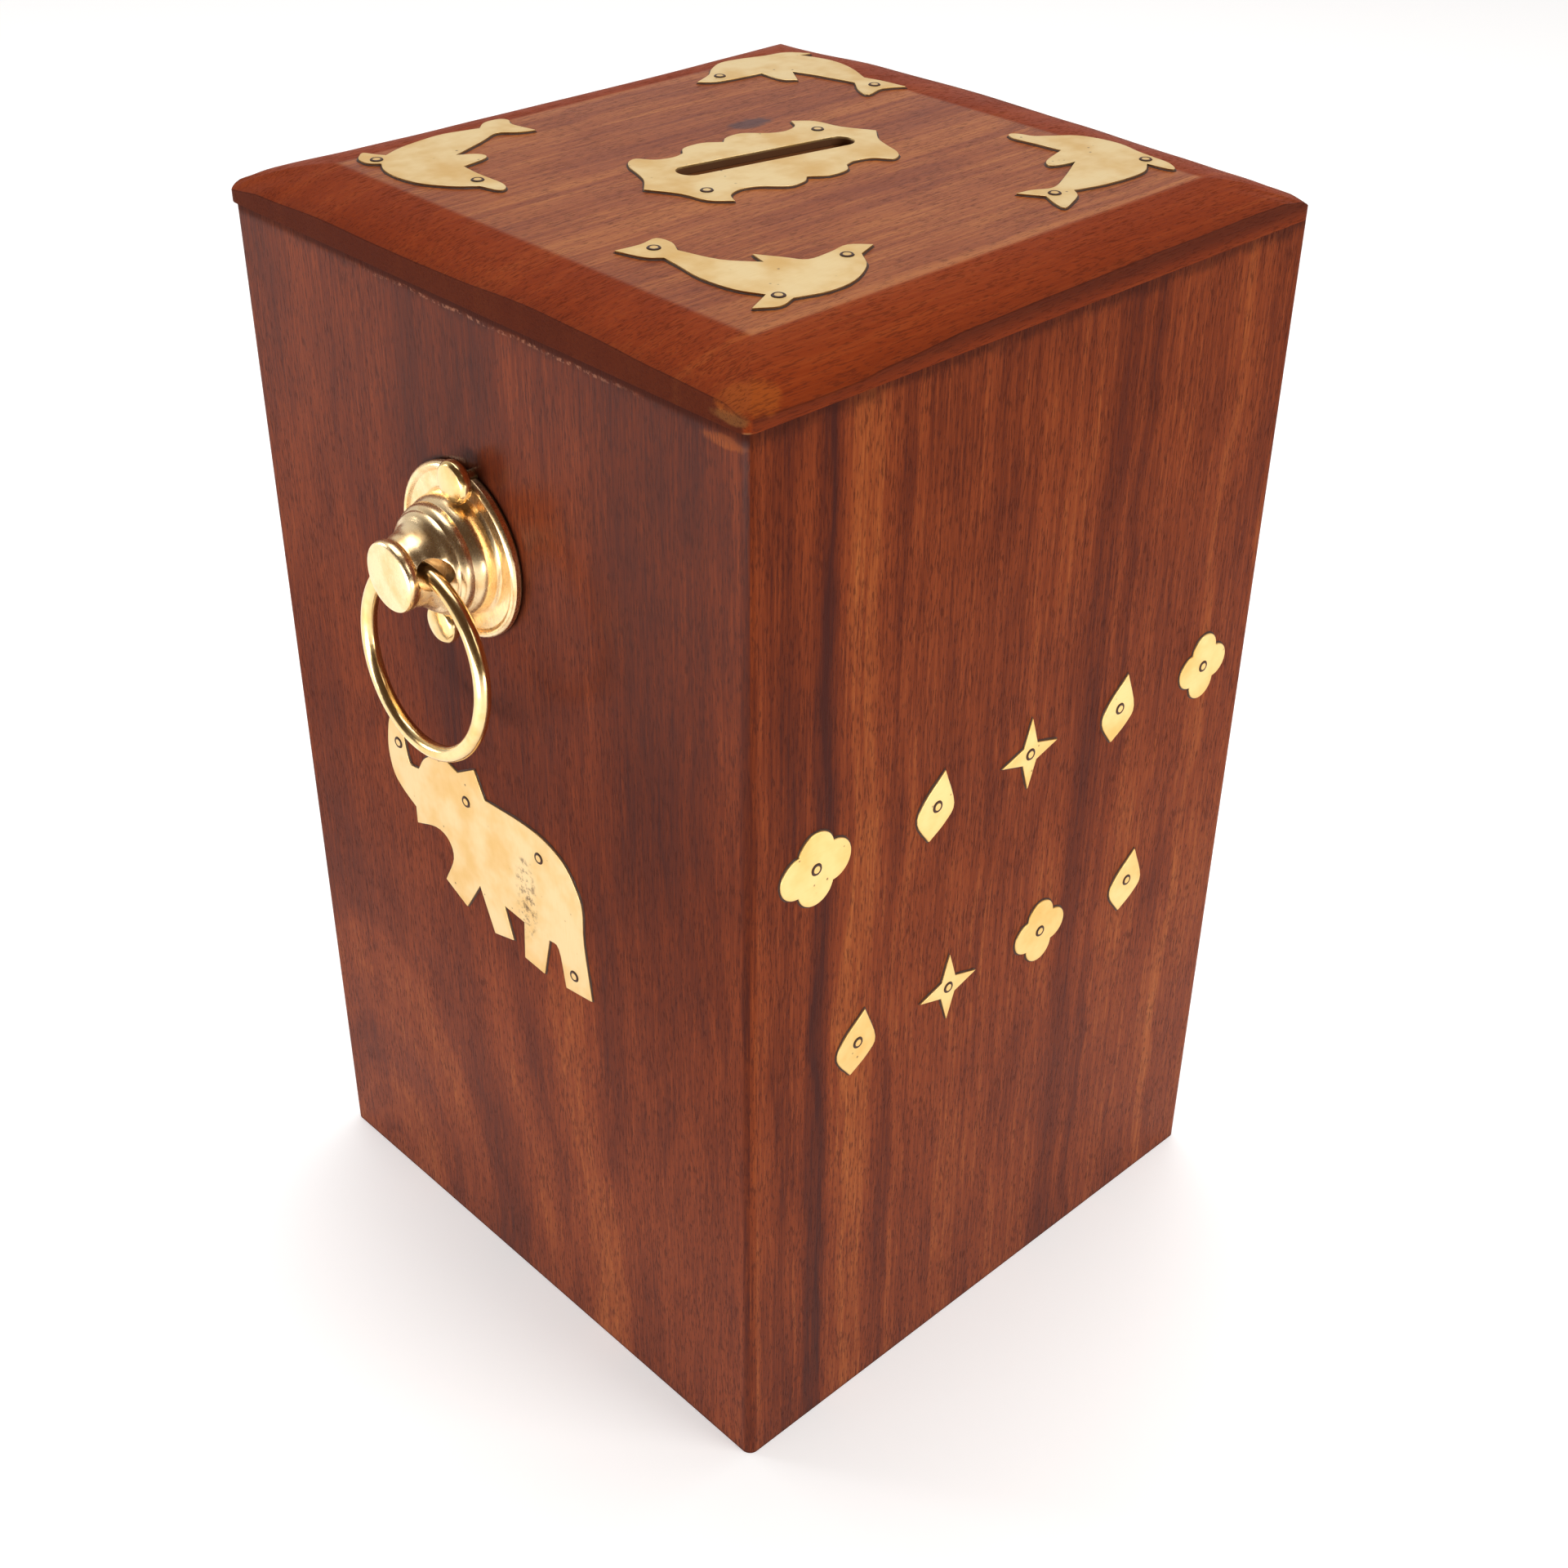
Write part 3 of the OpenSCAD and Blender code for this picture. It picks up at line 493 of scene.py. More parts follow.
def boards():
    inner = BASE_HALF / MM + 0.4
    under_lid = BODY_TOP / MM + 0.2
    lid_edge = LID_HIGH.x / MM
    return {
        "front_panel": Board(
            "wood_front", "X", "Z", (-230.0, 60.0), 0.25, ("Y", -inner, 1), 11.0, 0.55,
            streaks=((-61.8, 1.8, -0.20), (-56.5, 5.5, -0.15), (-47.0, 3.2, -0.24), (-39.0, 7.0, 0.12),
                     (-30.0, 3.0, -0.08), (-6.0, 5.0, -0.06), (16.5, 4.5, -0.16), (34.0, 8.0, 0.05)),
        ),
        "left_panel": Board(
            "wood_left", "Y", "Z", (46.0, 0.0), 0.72, ("X", -inner, 1), 37.0, 0.30,
            streaks=((-61.5, 2.0, -0.20), (-53.0, 7.0, -0.08), (-36.0, 18.0, -0.10), (8.0, 26.0, -0.08)),
            rings=((20.0, 6.0, -0.14), (31.0, 5.0, 0.06), (41.0, 7.0, -0.16), (54.0, 7.0, 0.05),
                   (63.0, 5.0, -0.06), (72.0, 7.5, 0.14), (84.0, 6.0, -0.06)),
            shade_up_wall=(30.0, 125.0, 0.04, -0.15), gloss=(0.17, 0.06, 0.22),
            blotches=(((-BODY_HALF / MM, -57.0, 197.6), (1.5, 4.5, 1.1), STAIN, 0.45),),
            fibres=(0.38, 0.05), glued_and_shaded=True,
        ),
        "right_panel": Board(
            "wood_right", "Y", "Z", (-30.0, 40.0), 0.6, ("X", inner, -1), 83.0, 0.65,
        ),
        "back_panel": Board(
            "wood_back", "X", "Z", (150.0, 90.0), 0.3, ("Y", inner, -1), 59.0, 0.6,
        ),
        "base_board": Board(
            "wood_base", "Y", "X", (20.0, 0.0), 0.2, ("Z", -1.0, 1), 23.0, 0.6,
        ),
        "door_panel": Board(
            "wood_door", "X", "Z", (70.0, 10.0), 0.5, ("Y", inner, -1), 71.0, 0.65,
        ),
        "lid_board": Board(
            "wood_lid", "Y", "X", (-160.0, -20.0), 0.20, ("Z", under_lid, -1), 5.0, 0.5,
            streaks=((-48.4, 1.3, 0.22), (22.0, 7.0, -0.08)),
            blotches=(
                ((14.7, 20.4, 206.4), (5.0, 2.6, 4.0), KNOT, 0.75),
                ((-lid_edge, -59.0, 201.6), (1.5, 4.0, 1.0), FILLER_BROWN, 0.8),
                ((-lid_edge + 4.0, -58.0, 203.0), (5.0, 5.0, 2.0), STAIN, 0.55),
            ),
            wear=0.35, flat_half=LID_HALF_MM - BORDER_MM,
        ),
    }


# ---- metals -------------------------------------------------------------------------
# dark tarnish for specks and stains, also used as painted shade in the brass's crevices
TARNISH_AND_SHADE = (0.085, 0.034, 0.012)
SUNK_BROWN = (0.150, 0.048, 0.018)
# brown tarnish, also used as painted shade in the turned brass's corners and grooves
BROWN_TARNISH_AND_SHADE = (0.160, 0.065, 0.018)


def inlay_brass(name, bright, rim, run, normal, level, stains=()):
    """Sanded sheet brass under lacquer. run is the axis that its scratches follow.

    normal is the axis that faces out, and level is the height of the wood along it in
    millimetres. The metal is stained dark where it goes down into the wood.
    """
    s = Shader(name, Coat_Weight=0.08, Coat_Roughness=0.3)
    place, axes = s.place()
    stretch = [1.0, 1.0, 1.0]
    stretch[AXIS[run]] = 0.05
    scratches = s.noise(s.stretched(place, stretch), 5.0, 3.0, 0.65)
    cloud = s.noise(place, 0.12, 3.0, 0.55)
    colour = s.mix(s.spread(cloud, 0.35, 0.75), bright, rim)
    # painted reflection: a deeper yellow round the rims, standing in for what their tilted bevels
    # reflect
    rim_reflection = s.crevice(1.8, 0.55, 0.95, inside=True)
    colour = s.mix(s.math("MULTIPLY", rim_reflection, 0.65), colour, rim)
    colour = s.mix(s.spread(scratches, 0.55, 0.75, 0.0, 0.25), colour, rim)
    specks = s.spots(place, 0.42, 0.05, 0.08)
    marks = s.math("MULTIPLY", specks, s.spread(s.noise(place, 0.22, 1.0), 0.50, 0.58))
    colour = s.mix(s.math("MULTIPLY", marks, 0.8), colour, TARNISH_AND_SHADE)
    for centre, radii, strength in stains:
        speckle = s.spread(s.noise(place, 0.75, 4.0, 0.75), 0.46, 0.66)
        share = s.math("MULTIPLY", blotch(s, place, centre, radii), speckle)
        colour = s.mix(s.math("MULTIPLY", share, strength), colour, TARNISH_AND_SHADE)
    # painted shade: ambient occlusion darkens the brass beside raised pieces and round the pins
    crevice_shade = s.crevice(0.8, 0.15, 0.6)
    colour = s.mix(s.math("MULTIPLY", crevice_shade, 0.7), colour, TARNISH_AND_SHADE)
    height = s.math("ABSOLUTE", axes[AXIS[normal]])
    sunk = s.spread(height, level - 0.05, level + 0.12, 1.0, 0.0)
    colour = s.mix(s.math("MULTIPLY", sunk, 0.92), colour, SUNK_BROWN)
    s.set("Base Color", colour)
    s.set("Metallic", s.spread(sunk, 0.0, 1.0, 0.85, 0.10))
    s.set("Roughness", s.total((scratches, 0.22), (cloud, 0.16), (crevice_shade, 0.25), (1.0, 0.26)))
    dents = s.noise(place, 0.5, 2.0)
    s.set("Normal", s.bump(s.total((scratches, 0.5), (dents, 1.0), (marks, -1.0)), 0.03, 0.5))
    return s.material


def radius_from(s, axes, centre):
    """How far a point is from an axis along X."""
    off = [s.math("SUBTRACT", axis, middle) for axis, middle in zip(axes[1:], centre)]
    squares = [s.math("MULTIPLY", part, part) for part in off]
    return s.math("SQRT", s.math("ADD", *squares))


def turned_brass(name, bright, dull, roughness, centre=None):
    """Polished brass with fine wipe marks, and brown tarnish with painted shade in its corners.

    centre is the (Y, Z) of the axis that the piece was turned about, in millimetres.
    """
    s = Shader(name, Metallic=1.0)
    place, axes = s.place()
    cloud = s.noise(place, 0.22, 3.0, 0.6)
    colour = s.mix(s.spread(cloud, 0.4, 0.75), bright, dull)
    # tarnish and painted shade: ambient occlusion browns the corners and grooves
    tarnish_and_shade = s.crevice(1.8, 0.20, 0.85)
    colour = s.mix(s.math("MULTIPLY", tarnish_and_shade, 0.75), colour, BROWN_TARNISH_AND_SHADE)
    s.set("Base Color", colour)
    wipes = s.noise(s.stretched(place, (1.0, 1.0, 0.25)), 3.0, 4.0, 0.7)
    s.set("Roughness", s.total((wipes, 0.14), (cloud, 0.10), (tarnish_and_shade, 0.25), (1.0, roughness)))
    height = s.total((s.noise(place, 0.35, 2.0), 1.0), (wipes, 0.10))
    if centre:
        lathe = s.line_noise(radius_from(s, axes, centre), 2.6, 2.0)
        height = s.total((height, 1.0), (lathe, 0.30))
    s.set("Normal", s.bump(height, 0.07, 0.5))
    return s.material


def drawn_steel():
    s = Shader("brad_steel", Metallic=1.0)
    place, _ = s.place()
    lines = s.noise(s.stretched(place, (4.0, 4.0, 0.4)), 1.5, 3.0)
    s.set("Base Color", s.mix(lines, (0.42, 0.42, 0.43), (0.60, 0.59, 0.57)))
    s.set("Roughness", s.spread(lines, 0.3, 0.7, 0.3, 0.5))
    s.set("Normal", s.bump(lines, 0.02, 0.4))
    return s.material


def lac_filler():
    """The dark lac that is rubbed into the gap round each brass piece."""
    s = Shader("lac_filler", Specular_IOR_Level=0.3)
    place, _ = s.place()
    crumbs = s.noise(place, 1.8, 3.0)
    s.set("Base Color", s.mix(crumbs, (0.016, 0.006, 0.003), (0.085, 0.028, 0.011)))
    s.set("Roughness", s.spread(crumbs, 0.3, 0.7, 0.45, 0.7))
    s.set("Normal", s.bump(crumbs, 0.06, 0.6))
    return s.material


def metal_materials():
    """The material of each kind of metal piece. The mark on the elephants is on the rump."""
    plate_low, plate_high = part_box("left_pull_plate")
    pull_axis = (plate_low + plate_high) / 2 / MM
    low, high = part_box("left_elephant")
    size = high - low
    rump = (low.x / MM, (low.y + 0.30 * size.y) / MM, (low.z + 0.42 * size.z) / MM)
    return {
        "lid_inlay": inlay_brass(
            "brass_lid_inlay", (0.73, 0.55, 0.27), (0.60, 0.37, 0.115), "X", "Z", LID_TOP / MM,
        ),
        "side_inlay": inlay_brass(
            "brass_side_inlay", (0.79, 0.57, 0.29), (0.70, 0.44, 0.15), "Z", "X", BODY_HALF / MM,
            stains=((rump, (3.0, 3.0, 9.0), 0.85),),
        ),
        "front_inlay": inlay_brass(
            "brass_front_inlay", (0.84, 0.59, 0.24), (0.74, 0.45, 0.13), "X", "Y", BODY_HALF / MM,
        ),
        "pull": turned_brass(
            "brass_pull", (0.97, 0.74, 0.43), (0.88, 0.57, 0.26), 0.15,
            (pull_axis.y, pull_axis.z),
        ),
        "polished_brass": turned_brass("brass_polished", (0.93, 0.69, 0.34), (0.86, 0.56, 0.21), 0.08),
        "hardware_brass": turned_brass("brass_hardware", (0.80, 0.58, 0.24), (0.66, 0.43, 0.15), 0.22),
        "brad_steel": drawn_steel(),
    }


# ---- the lid board ------------------------------------------------------------------
# The lid is planed by hand, so the lower edge of its border wanders. Each list gives the
# height of that edge in millimetres, against X along the front and the back, and against Y
# along the left and the right.
FRONT_EDGE = ((-62.5, 201.9), (-50.5, 201.5), (-41.3, 201.6), (-35.0, 202.2), (-18.7, 203.1),
              (-1.2, 203.5), (27.1, 203.9), (45.9, 204.1), (54.0, 204.0), (59.0, 203.3), (62.5, 202.0))
RIGHT_EDGE = ((-62.5, 202.0), (-57.0, 203.0), (-48.0, 203.3), (-35.0, 203.6), (-12.0, 204.2),
              (10.0, 204.5), (35.0, 204.2), (62.5, 202.8))
BACK_EDGE = ((-62.5, 201.9), (-59.0, 203.0), (-54.0, 203.4), (-42.0, 202.9), (-25.0, 202.6),
             (25.0, 202.2), (62.5, 202.8))
LEFT_EDGE = ((-62.5, 201.9), (-57.0, 203.3), (-45.0, 203.6), (-30.0, 204.2), (-17.0, 204.5),
             (0.0, 203.8), (15.0, 203.5), (35.0, 203.6), (52.0, 203.0), (62.5, 201.9))
# each side as seen in a walk round the lid, clockwise from above from the near corner:
# its edge, its direction outwards, and which way along its own axis the walk goes
LID_SIDES = ((LEFT_EDGE, (-1, 0), 1), (BACK_EDGE, (0, 1), 1),
             (RIGHT_EDGE, (1, 0), -1), (FRONT_EDGE, (0, -1), -1))
CORNER_MM = 1.8
END_CROWDING = 0.6             # 0 spaces the points of a side evenly, 1 crowds them at its ends
BORDER_STEPS = 12
SIDE_STEPS = 60
BORDER_START_SLOPE = 0.05
WAVE_MM = 0.08
WAVE_SCALE = 0.09
WAVE_SEED = 7.0
LID_EDGE_MM = 0.25
LID_PIECES = ("slot_plate", "near_dolphin", "left_dolphin", "right_dolphin", "far_dolphin",
              "slot_plate_pins", "dolphin_pins")


def along_list(points, at):
    """The height at one place, eased between the listed points."""
    for (left, low), (right, high) in zip(points, points[1:]):
        if at <= right:
            share = (at - left) / (right - left)
            return low + (high - low) * share * share * (3 - 2 * share)
    return points[-1][1]


def border_height(edge_height, inset_mm):
    """Height of the pillowed border at a distance in from the edge."""
    top = LID_TOP / MM
    run = max(0.0, BORDER_MM - inset_mm)
    drop = top - edge_height
    curve = (drop - BORDER_START_SLOPE * BORDER_MM) / BORDER_MM ** 2
    return top - BORDER_START_SLOPE * run - curve * run * run


def rounded_square(x, y, size, corner):
    """A point on a square's outline, moved in to the arc where it is near a corner."""
    middle = Vector((math.copysign(size - corner, x), math.copysign(size - corner, y)))
    out = Vector((x, y)) - middle
    if corner <= 0 or out.x * x <= 0 or out.y * y <= 0:
        return x, y
    return middle + out.normalized() * corner


def lid_ring(inset_mm, level_mm=None):
    """One square ring of points on the lid, at its own height or at a level."""
    size = LID_HALF_MM - inset_mm
    corner = max(0.0, CORNER_MM - inset_mm)
    ring = []
    for edge, (out_x, out_y), way in LID_SIDES:
        for step in range(SIDE_STEPS):
            even = -1 + 2 * step / SIDE_STEPS
            share = way * (even + END_CROWDING * math.sin(math.pi * even) / math.pi)
            side_x = size * (out_x or share)
            side_y = size * (out_y or share)
            x, y = rounded_square(side_x, side_y, size, corner)
            wave = WAVE_MM * noise.noise(Vector((x * WAVE_SCALE, y * WAVE_SCALE, WAVE_SEED)))
            height = border_height(along_list(edge, share * LID_HALF_MM) + wave, inset_mm)
            ring.append(Vector((x - LID_SHIFT_MM, y + LID_SHIFT_MM, level_mm or height)))
    return ring


def make_lid(material):
    """The planed lid: a foot, its side, and rings that rise up the border to the flat."""
    rings = [lid_ring(0.0, LID_LOW.z / MM)]
    rings += [lid_ring(BORDER_MM * step / BORDER_STEPS) for step in range(BORDER_STEPS + 1)]
    count = len(rings[0])
    points = [point * MM for ring in rings for point in ring]
    faces = [tuple(reversed(range(count)))]
    for base in range(0, len(points) - count, count):
        for index in range(count):
            after = (index + 1) % count
            faces.append((base + index, base + after, base + count + after, base + count + index))
    faces.append(tuple(range(len(points) - count, len(points))))
    mesh = bpy.data.meshes.new("lid_planed")
    mesh.from_pydata(points, [], faces)
    recalculate(mesh)
    lid = link(bpy.data.objects.new("lid_planed", mesh))
    give(lid, material)
    cut_out(lid, LID_PIECES + ("lid_brads",))
    soften(lid, LID_EDGE_MM, flatten=False)
    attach(lid, "box")
    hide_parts("lid_board")


def recalculate(mesh):
    work = bmesh.new()
    work.from_mesh(mesh)
    bmesh.ops.recalc_face_normals(work, faces=work.faces)
    work.to_mesh(mesh)
    work.free()


def link(thing):
    bpy.context.scene.collection.objects.link(thing)
    return thing


def welded(name):
    """A closed copy of one CAD node's mesh."""
    work = bmesh.new()
    work.from_mesh(NODES[name].data)
    bmesh.ops.remove_doubles(work, verts=work.verts, dist=WELD_DISTANCE)
    return work


SLOT_AREA_MM2 = 50.0           # more than any pin hole in the plate
TOOL_MARGIN = 1 * MM


def slot_tool():
    """A rod through the slot in the lid, taken from the hole in the plate."""
    work = welded("slot_plate")
    loops = outline_loops(work, FACES["lid"])
    work.free()
    loops.sort(key=loop_area)
    hole = next(loop for loop in loops if loop_area(loop) > SLOT_AREA_MM2 * MM * MM)
    return prism(hole, LID_LOW.z - TOOL_MARGIN, LID_TOP + TOOL_MARGIN)


def prism(loop, low, high):
    """A closed upright solid on a loop of points."""
    count = len(loop)
    points = [(p.x, p.y, low) for p in loop] + [(p.x, p.y, high) for p in loop]
    faces = [tuple(range(count)), tuple(range(count, 2 * count))]
    for index in range(count):
        after = (index + 1) % count
        faces.append((index, after, count + after, count + index))
    mesh = bpy.data.meshes.new("slot_tool")
    mesh.from_pydata(points, [], faces)
    recalculate(mesh)
    return mesh


def cut_out(lid, names):
    """Cuts the named CAD pieces and the slot out of the lid, and keeps only the result."""
    meshes = [slot_tool()]
    for name in names:
        work = welded(name)
        mesh = bpy.data.meshes.new("tool_" + name)
        work.to_mesh(mesh)
        work.free()
        meshes.append(mesh)
    tools = bpy.data.collections.new("lid_tools")
    bpy.context.scene.collection.children.link(tools)
    for mesh in meshes:
        tools.objects.link(bpy.data.objects.new(mesh.name, mesh))
    cutter = lid.modifiers.new("cut", "BOOLEAN")
    cutter.operation = "DIFFERENCE"
    cutter.solver = "EXACT"
    cutter.operand_type = "COLLECTION"
    cutter.collection = tools
    bpy.context.view_layer.update()
    seen = lid.evaluated_get(bpy.context.evaluated_depsgraph_get())
    result = bpy.data.meshes.new_from_object(seen)
    lid.modifiers.remove(cutter)
    work = bmesh.new()
    work.from_mesh(result)
    bmesh.ops.remove_doubles(work, verts=work.verts, dist=2 * WELD_DISTANCE)
    bmesh.ops.triangulate(work, faces=[face for face in work.faces if len(face.verts) > 4])
    work.to_mesh(result)
    work.free()
    lid.data = result
    for tool in list(tools.objects):
        bpy.data.objects.remove(tool)
    bpy.data.collections.remove(tools)


# ---- dark filler round the brass ----------------------------------------------------
class Face:
    """One face of the box: its outward direction and the level of its wood."""

    def __init__(self, normal, level):
        self.normal = Vector(normal)
        self.level = level
        self.across = Vector((0, 1, 0)) if abs(normal[0]) else Vector((1, 0, 0))
        self.up = self.normal.cross(self.across)

    def flat(self, point):
        return Vector((point.dot(self.across), point.dot(self.up)))

    def solid(self, flat, height):
        return self.across * flat.x + self.up * flat.y + self.normal * (self.level + height)


FACES = {
    "lid": Face((0, 0, 1), LID_TOP),
    "left": Face((-1, 0, 0), BODY_HALF),
    "right": Face((1, 0, 0), BODY_HALF),
    "front": Face((0, -1, 0), BODY_HALF),
}


FACING = 0.99                  # the least cosine for a polygon to count as facing out
LEVEL_TOLERANCE = 1e-5


def outline_loops(work, face):
    """The edges of a sheet's outer face, as closed loops of points."""
    work.faces.ensure_lookup_table()
    work.normal_update()
    high = max(vert.co.dot(face.normal) for vert in work.verts)
    top = {
        polygon for polygon in work.faces
        if polygon.normal.dot(face.normal) > FACING
        and polygon.calc_center_median().dot(face.normal) > high - LEVEL_TOLERANCE
    }
    onward = {}
    for polygon in top:
        for corner in polygon.loops:
            other = corner.link_loop_radial_next.face
            if other not in top:
                onward[corner.vert] = corner.link_loop_next.vert
    loops = []
    while onward:
        start, vert = onward.popitem()
        loop = [start.co.copy()]
        while vert in onward:
            loop.append(vert.co.copy())
            vert = onward.pop(vert)
        loops.append(loop)
    return loops


def loop_area(loop):
    total = Vector((0, 0, 0))
    for first, second in zip(loop, loop[1:] + loop[:1]):
        total += first.cross(second)
    return total.length / 2


def even_loop(points, step):
    """The loop again with points about one step apart, keeping its corners."""
    found = []
    for first, second in zip(points, points[1:] + points[:1]):
        length = (second - first).length
        if found and length < step * SHORT_EDGE:
            continue
        pieces = max(1, round(length / step))
        found.extend(first.lerp(second, piece / pieces) for piece in range(pieces))
    return found


# across the bead: (out from the brass, height above the wood), in millimetres
BEAD = ((0.0, 0.16), (0.12, 0.12), (0.26, 0.02), (0.32, -0.12), (0.0, -0.12))
BEAD_STEP_MM = 0.8
SHORT_EDGE = 0.15              # the share of a step below which an edge is left out
RAGGED_SHARE = 0.45
RAGGED_MM = 1.3


def bead_round(points, face, beads):
    """Adds one closed bead of filler along a loop of flat points to a bmesh."""
    count = len(points)
    area = sum(a.x * b.y - b.x * a.y for a, b in zip(points, points[1:] + points[:1]))
    turn = 1.0 if area > 0 else -1.0
    rows = []
    for index, point in enumerate(points):
        before = (point - points[index - 1]).normalized()
        after = (points[(index + 1) % count] - point).normalized()
        forward = (before + after).normalized()
        out = Vector((forward.y, -forward.x)) * turn
        ragged = 1.0 + RAGGED_SHARE * noise.noise(face.solid(point, 0) / (RAGGED_MM * MM))
        rows.append([
            beads.verts.new(face.solid(point + out * (away * ragged * MM), height * MM))
            for away, height in BEAD
        ])
    join_rows(beads, rows)


def fill_round(name, face, material):
    """A thin line of dark filler round one brass sheet."""
    work = welded(name)
    loops = outline_loops(work, face)
    work.free()
    beads = bmesh.new()
    outer = max(loops, key=loop_area)
    flat = [face.flat(point) for point in outer]
    bead_round(even_loop(flat, BEAD_STEP_MM * MM), face, beads)
    finish_filler(beads, name + "_filler", material)


# across the ring: (out from the pin's axis, height above the brass), in millimetres
PIN_RING = ((0.60, 0.02), (0.72, 0.17), (1.0, 0.14), (1.12, 0.0))
PIN_RING_STEPS = 20


def ring_pins(name, faces, material):
    """A dark ring of filler round the head of each inlay pin."""
    work = welded(name)
    rings = bmesh.new()
    for part in loose_parts(work):
        low = Vector([min(vert.co[i] for vert in part) for i in range(3)])
        high = Vector([max(vert.co[i] for vert in part) for i in range(3)])
        middle = (low + high) / 2
        face = min(faces, key=lambda f: abs(max(low.dot(f.normal), high.dot(f.normal)) - f.level))
        centre = face.flat(middle)
        rows = []
        for step in range(PIN_RING_STEPS):
            angle = 2 * math.pi * step / PIN_RING_STEPS
            way = Vector((math.cos(angle), math.sin(angle)))
            rows.append([
                rings.verts.new(face.solid(centre + way * (away * MM), BRASS_PROUD + height * MM))
                for away, height in PIN_RING
            ])
        join_rows(rings, rows)
    work.free()
    finish_filler(rings, name + "_filler", material)


def loose_parts(work):
    """The vertices of each separate solid in a bmesh."""
    left = set(work.verts)
    while left:
        part, waiting = set(), [left.pop()]
        while waiting:
            vert = waiting.pop()
            part.add(vert)
            for edge in vert.link_edges:
                other = edge.other_vert(vert)
                if other in left:
                    left.discard(other)
                    waiting.append(other)
        yield part


def join_rows(work, rows):
    """Closes a ring of cross-sections into one tube."""
    for row, following in zip(rows, rows[1:] + rows[:1]):
        for side in range(len(row)):
            beyond = (side + 1) % len(row)
            work.faces.new((row[side], row[beyond], following[beyond], following[side]))


def finish_filler(work, name, material):
    bmesh.ops.recalc_face_normals(work, faces=work.faces)
    mesh = bpy.data.meshes.new(name)
    work.to_mesh(mesh)
    work.free()
    mesh.shade_smooth()
    line = link(bpy.data.objects.new(name, mesh))
    give(line, material)
    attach(line, "box")


def face_of(name):
    if name in LID_PIECES:
        return FACES["lid"]
    if name.startswith("front_"):
        return FACES["front"]
    return FACES[name.split("_")[0]]


def make_fillers():
    material = lac_filler()
    for name in NODES:
        if SLOT_OF[name] == "inlay_brass":
            fill_round(name, face_of(name), material)
    ring_pins("slot_plate_pins", [FACES["lid"]], material)
    ring_pins("dolphin_pins", [FACES["lid"]], material)
    ring_pins("elephant_pins", [FACES["left"], FACES["right"]], material)
    ring_pins("front_motif_pins", [FACES["front"]], material)


# ---- dressing the CAD pieces --------------------------------------------------------
def give(node, material):
    slots = node.data.materials
    slots.clear()
    slots.append(material)


EDGE_MM = {
    "wall_wood": 0.22, "lid_wood": 0.22, "door_wood": 0.3, "inlay_brass": 0.2, "pin_brass": 0.12,
    "polished_brass": 0.12, "hardware_brass": 0.12, "brad_steel": 0.08,
}
FLAT_DEGREES = 0.6
SHARP_DEGREES = 32


def soften(node, width_mm, flatten=True):
    """Rounds the sharp edges with modifiers, which leave the mesh itself as it is."""
    node.data.shade_smooth()
    weld = node.modifiers.new("weld", "WELD")
    weld.merge_threshold = WELD_DISTANCE
    if flatten:
        flat = node.modifiers.new("flat", "DECIMATE")
        flat.decimate_type = "DISSOLVE"
        flat.angle_limit = math.radians(FLAT_DEGREES)
    bevel = node.modifiers.new("bevel", "BEVEL")
    bevel.width = width_mm * MM
    bevel.segments = 2
    bevel.limit_method = "ANGLE"
    bevel.angle_limit = math.radians(SHARP_DEGREES)
    bevel.use_clamp_overlap = True
    shade = node.modifiers.new("shade", "WEIGHTED_NORMAL")
    shade.weight = 60
    shade.keep_sharp = False


def metal_for(name, metals):
    if name in LID_PIECES:
        return metals["lid_inlay"]
    if "elephant" in name:
        return metals["side_inlay"]
    if name.startswith("front_"):
        return metals["front_inlay"]
    if name.endswith("pull_plate"):
        return metals["pull"]
    return metals[SLOT_OF[name]]


def dress_cad():
    woods = {name: wood(board) for name, board in boards().items()}
    metals = metal_materials()
    for name, node in NODES.items():
        give(node, woods[name] if name in woods else metal_for(name, metals))
        if name in ("left_ring", "right_ring"):
            node.data.shade_smooth()
        else:
            soften(node, EDGE_MM[SLOT_OF[name]])
    make_lid(woods["lid_board"])


# ---- floor, light and camera --------------------------------------------------------
FLOOR_HALF = 6.0
FLOOR_BELOW = 0.02 * MM


def make_floor():
    corners = ((-1, -1), (1, -1), (1, 1), (-1, 1))
    points = [(x * FLOOR_HALF, y * FLOOR_HALF, -FLOOR_BELOW) for x, y in corners]
    mesh = bpy.data.meshes.new("floor")
    mesh.from_pydata(points, [], [(0, 1, 2, 3)])
    floor = link(bpy.data.objects.new("floor", mesh))
    s = Shader("floor_paper", Roughness=0.9, Specular_IOR_Level=0.0, Emission_Strength=0.42)
    s.set("Base Color", (0.80, 0.80, 0.80, 1.0))
    s.set("Emission Color", (1.0, 1.0, 1.0, 1.0))
    give(floor, s.material)


BACK_WALL_WAY = (0.62, 0.66, 0.42)
DARK_SIDE = (0.085, 0.050, 0.030, 1.0)
WHITE = (1.0, 1.0, 1.0, 1.0)


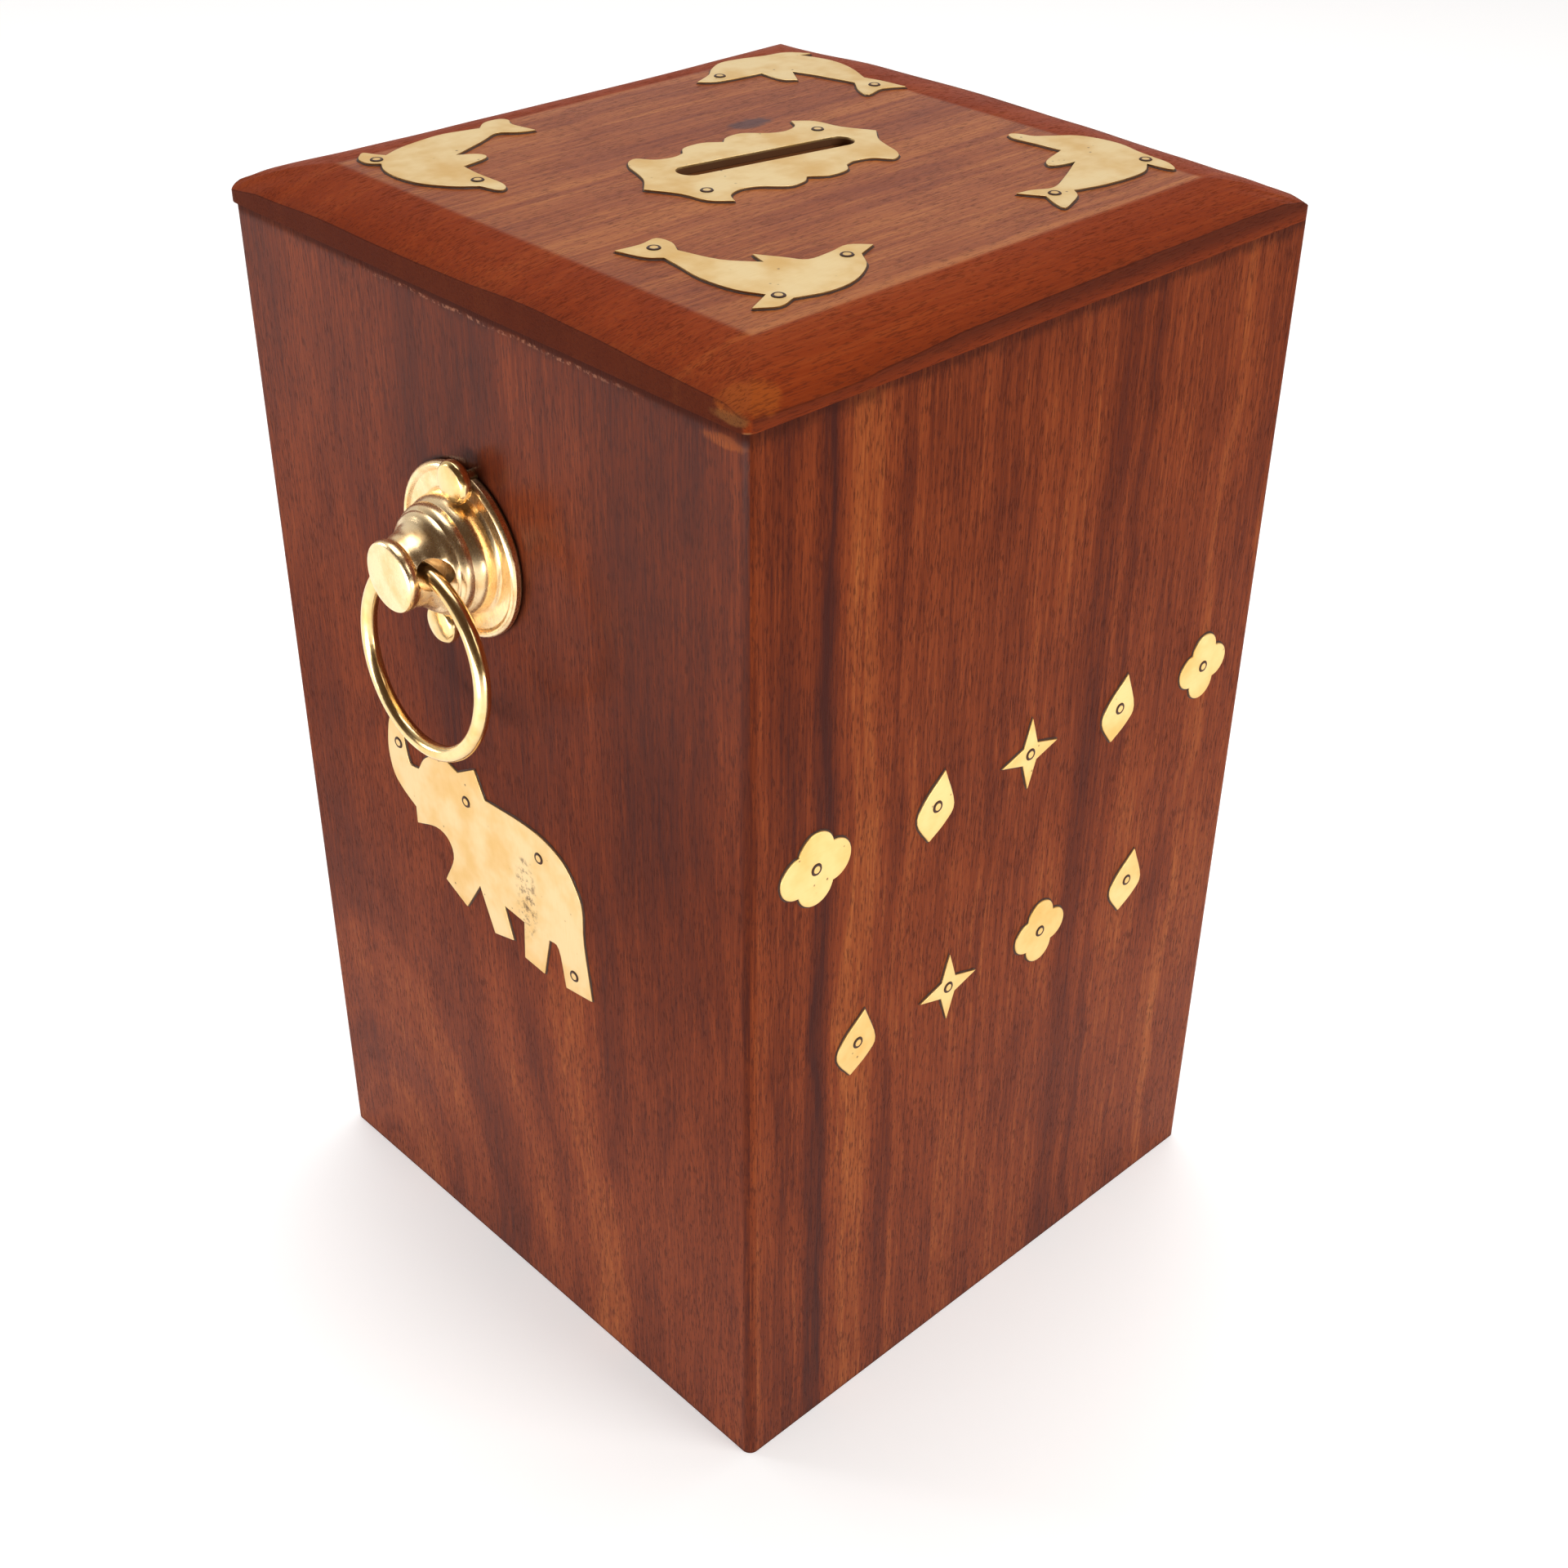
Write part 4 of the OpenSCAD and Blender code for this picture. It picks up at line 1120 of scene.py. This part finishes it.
def make_world():
    """White to the camera, and a soft studio with a bright back wall to everything else."""
    world = bpy.data.worlds.new("studio")
    world.use_nodes = True
    tree = world.node_tree
    tree.nodes.clear()
    back_wall = add_node(tree, "ShaderNodeVectorMath", operation="DOT_PRODUCT")
    way = add_node(tree, "ShaderNodeTexCoord").outputs["Generated"]
    tree.links.new(way, back_wall.inputs[0])
    back_wall.inputs[1].default_value = Vector(BACK_WALL_WAY).normalized()
    ramp = add_node(tree, "ShaderNodeValToRGB")
    tree.links.new(back_wall.outputs["Value"], ramp.inputs[0])
    for stop, (position, colour) in zip(ramp.color_ramp.elements, ((0.22, DARK_SIDE), (0.85, WHITE))):
        stop.position = position
        stop.color = colour
    soft = add_node(tree, "ShaderNodeBackground")
    tree.links.new(ramp.outputs[0], soft.inputs["Color"])
    soft.inputs["Strength"].default_value = 0.85
    white = add_node(tree, "ShaderNodeBackground")
    white.inputs["Strength"].default_value = 1.0
    white.inputs["Color"].default_value = WHITE
    path = add_node(tree, "ShaderNodeLightPath")
    choose = add_node(tree, "ShaderNodeMixShader")
    tree.links.new(path.outputs["Is Camera Ray"], choose.inputs[0])
    tree.links.new(soft.outputs[0], choose.inputs[1])
    tree.links.new(white.outputs[0], choose.inputs[2])
    output = add_node(tree, "ShaderNodeOutputWorld")
    tree.links.new(choose.outputs[0], output.inputs["Surface"])
    bpy.context.scene.world = world


def softbox(name, position, aim, width, height, power, colour=(1.0, 1.0, 1.0)):
    data = bpy.data.lights.new(name, "AREA")
    data.shape = "RECTANGLE"
    data.size = width
    data.size_y = height
    data.energy = power
    data.color = colour
    lamp = link(bpy.data.objects.new(name, data))
    lamp.location = position
    lamp.visible_camera = False
    lamp.rotation_euler = (Vector(aim) - Vector(position)).to_track_quat("-Z", "Y").to_euler()


def make_lights():
    middle = (0.0, 0.0, BODY_TOP / 2)
    foot = (0.0, 0.0, BODY_TOP / 5)
    softbox("key", (0.35, -0.95, 0.85), middle, 0.6, 0.6, 6.0, (1.0, 0.98, 0.95))
    softbox("fill", (-0.75, 1.10, 0.40), middle, 0.25, 0.45, 3.8)
    softbox("top", (0.15, 0.25, 1.3), middle, 0.9, 0.9, 9.0)
    softbox("low_front", (0.10, -0.60, 0.06), foot, 0.5, 0.10, 1.3)
    softbox("low_left", (-0.60, -0.05, 0.06), foot, 0.5, 0.10, 2.0)


CAMERA_PLACE_MM = (-235.32, -248.68, 316.65)
CAMERA_DEGREES = (-43.974, 33.797, 0.619)     # azimuth, elevation and roll
LENS_MM = 49.315
SENSOR_MM = 36.0


def make_camera():
    azimuth, elevation, roll = (math.radians(angle) for angle in CAMERA_DEGREES)
    back = Vector((
        math.sin(azimuth) * math.cos(elevation),
        -math.cos(azimuth) * math.cos(elevation),
        math.sin(elevation),
    ))
    right = Vector((math.cos(azimuth), math.sin(azimuth), 0.0))
    up = back.cross(right)
    turned_right = right * math.cos(roll) + up * math.sin(roll)
    turned_up = up * math.cos(roll) - right * math.sin(roll)
    data = bpy.data.cameras.new("camera")
    data.sensor_width = SENSOR_MM
    data.lens = LENS_MM
    data.clip_start = 0.01
    data.clip_end = 50.0
    camera = link(bpy.data.objects.new("camera", data))
    rows = Matrix((turned_right, turned_up, back)).transposed().to_4x4()
    camera.matrix_world = Matrix.Translation(Vector(CAMERA_PLACE_MM) * MM) @ rows
    bpy.context.scene.camera = camera


# ---- the scene ----------------------------------------------------------------------
dress_cad()
make_fillers()
make_floor()
make_world()
make_lights()
make_camera()
bpy.context.scene.view_settings.view_transform = "Standard"
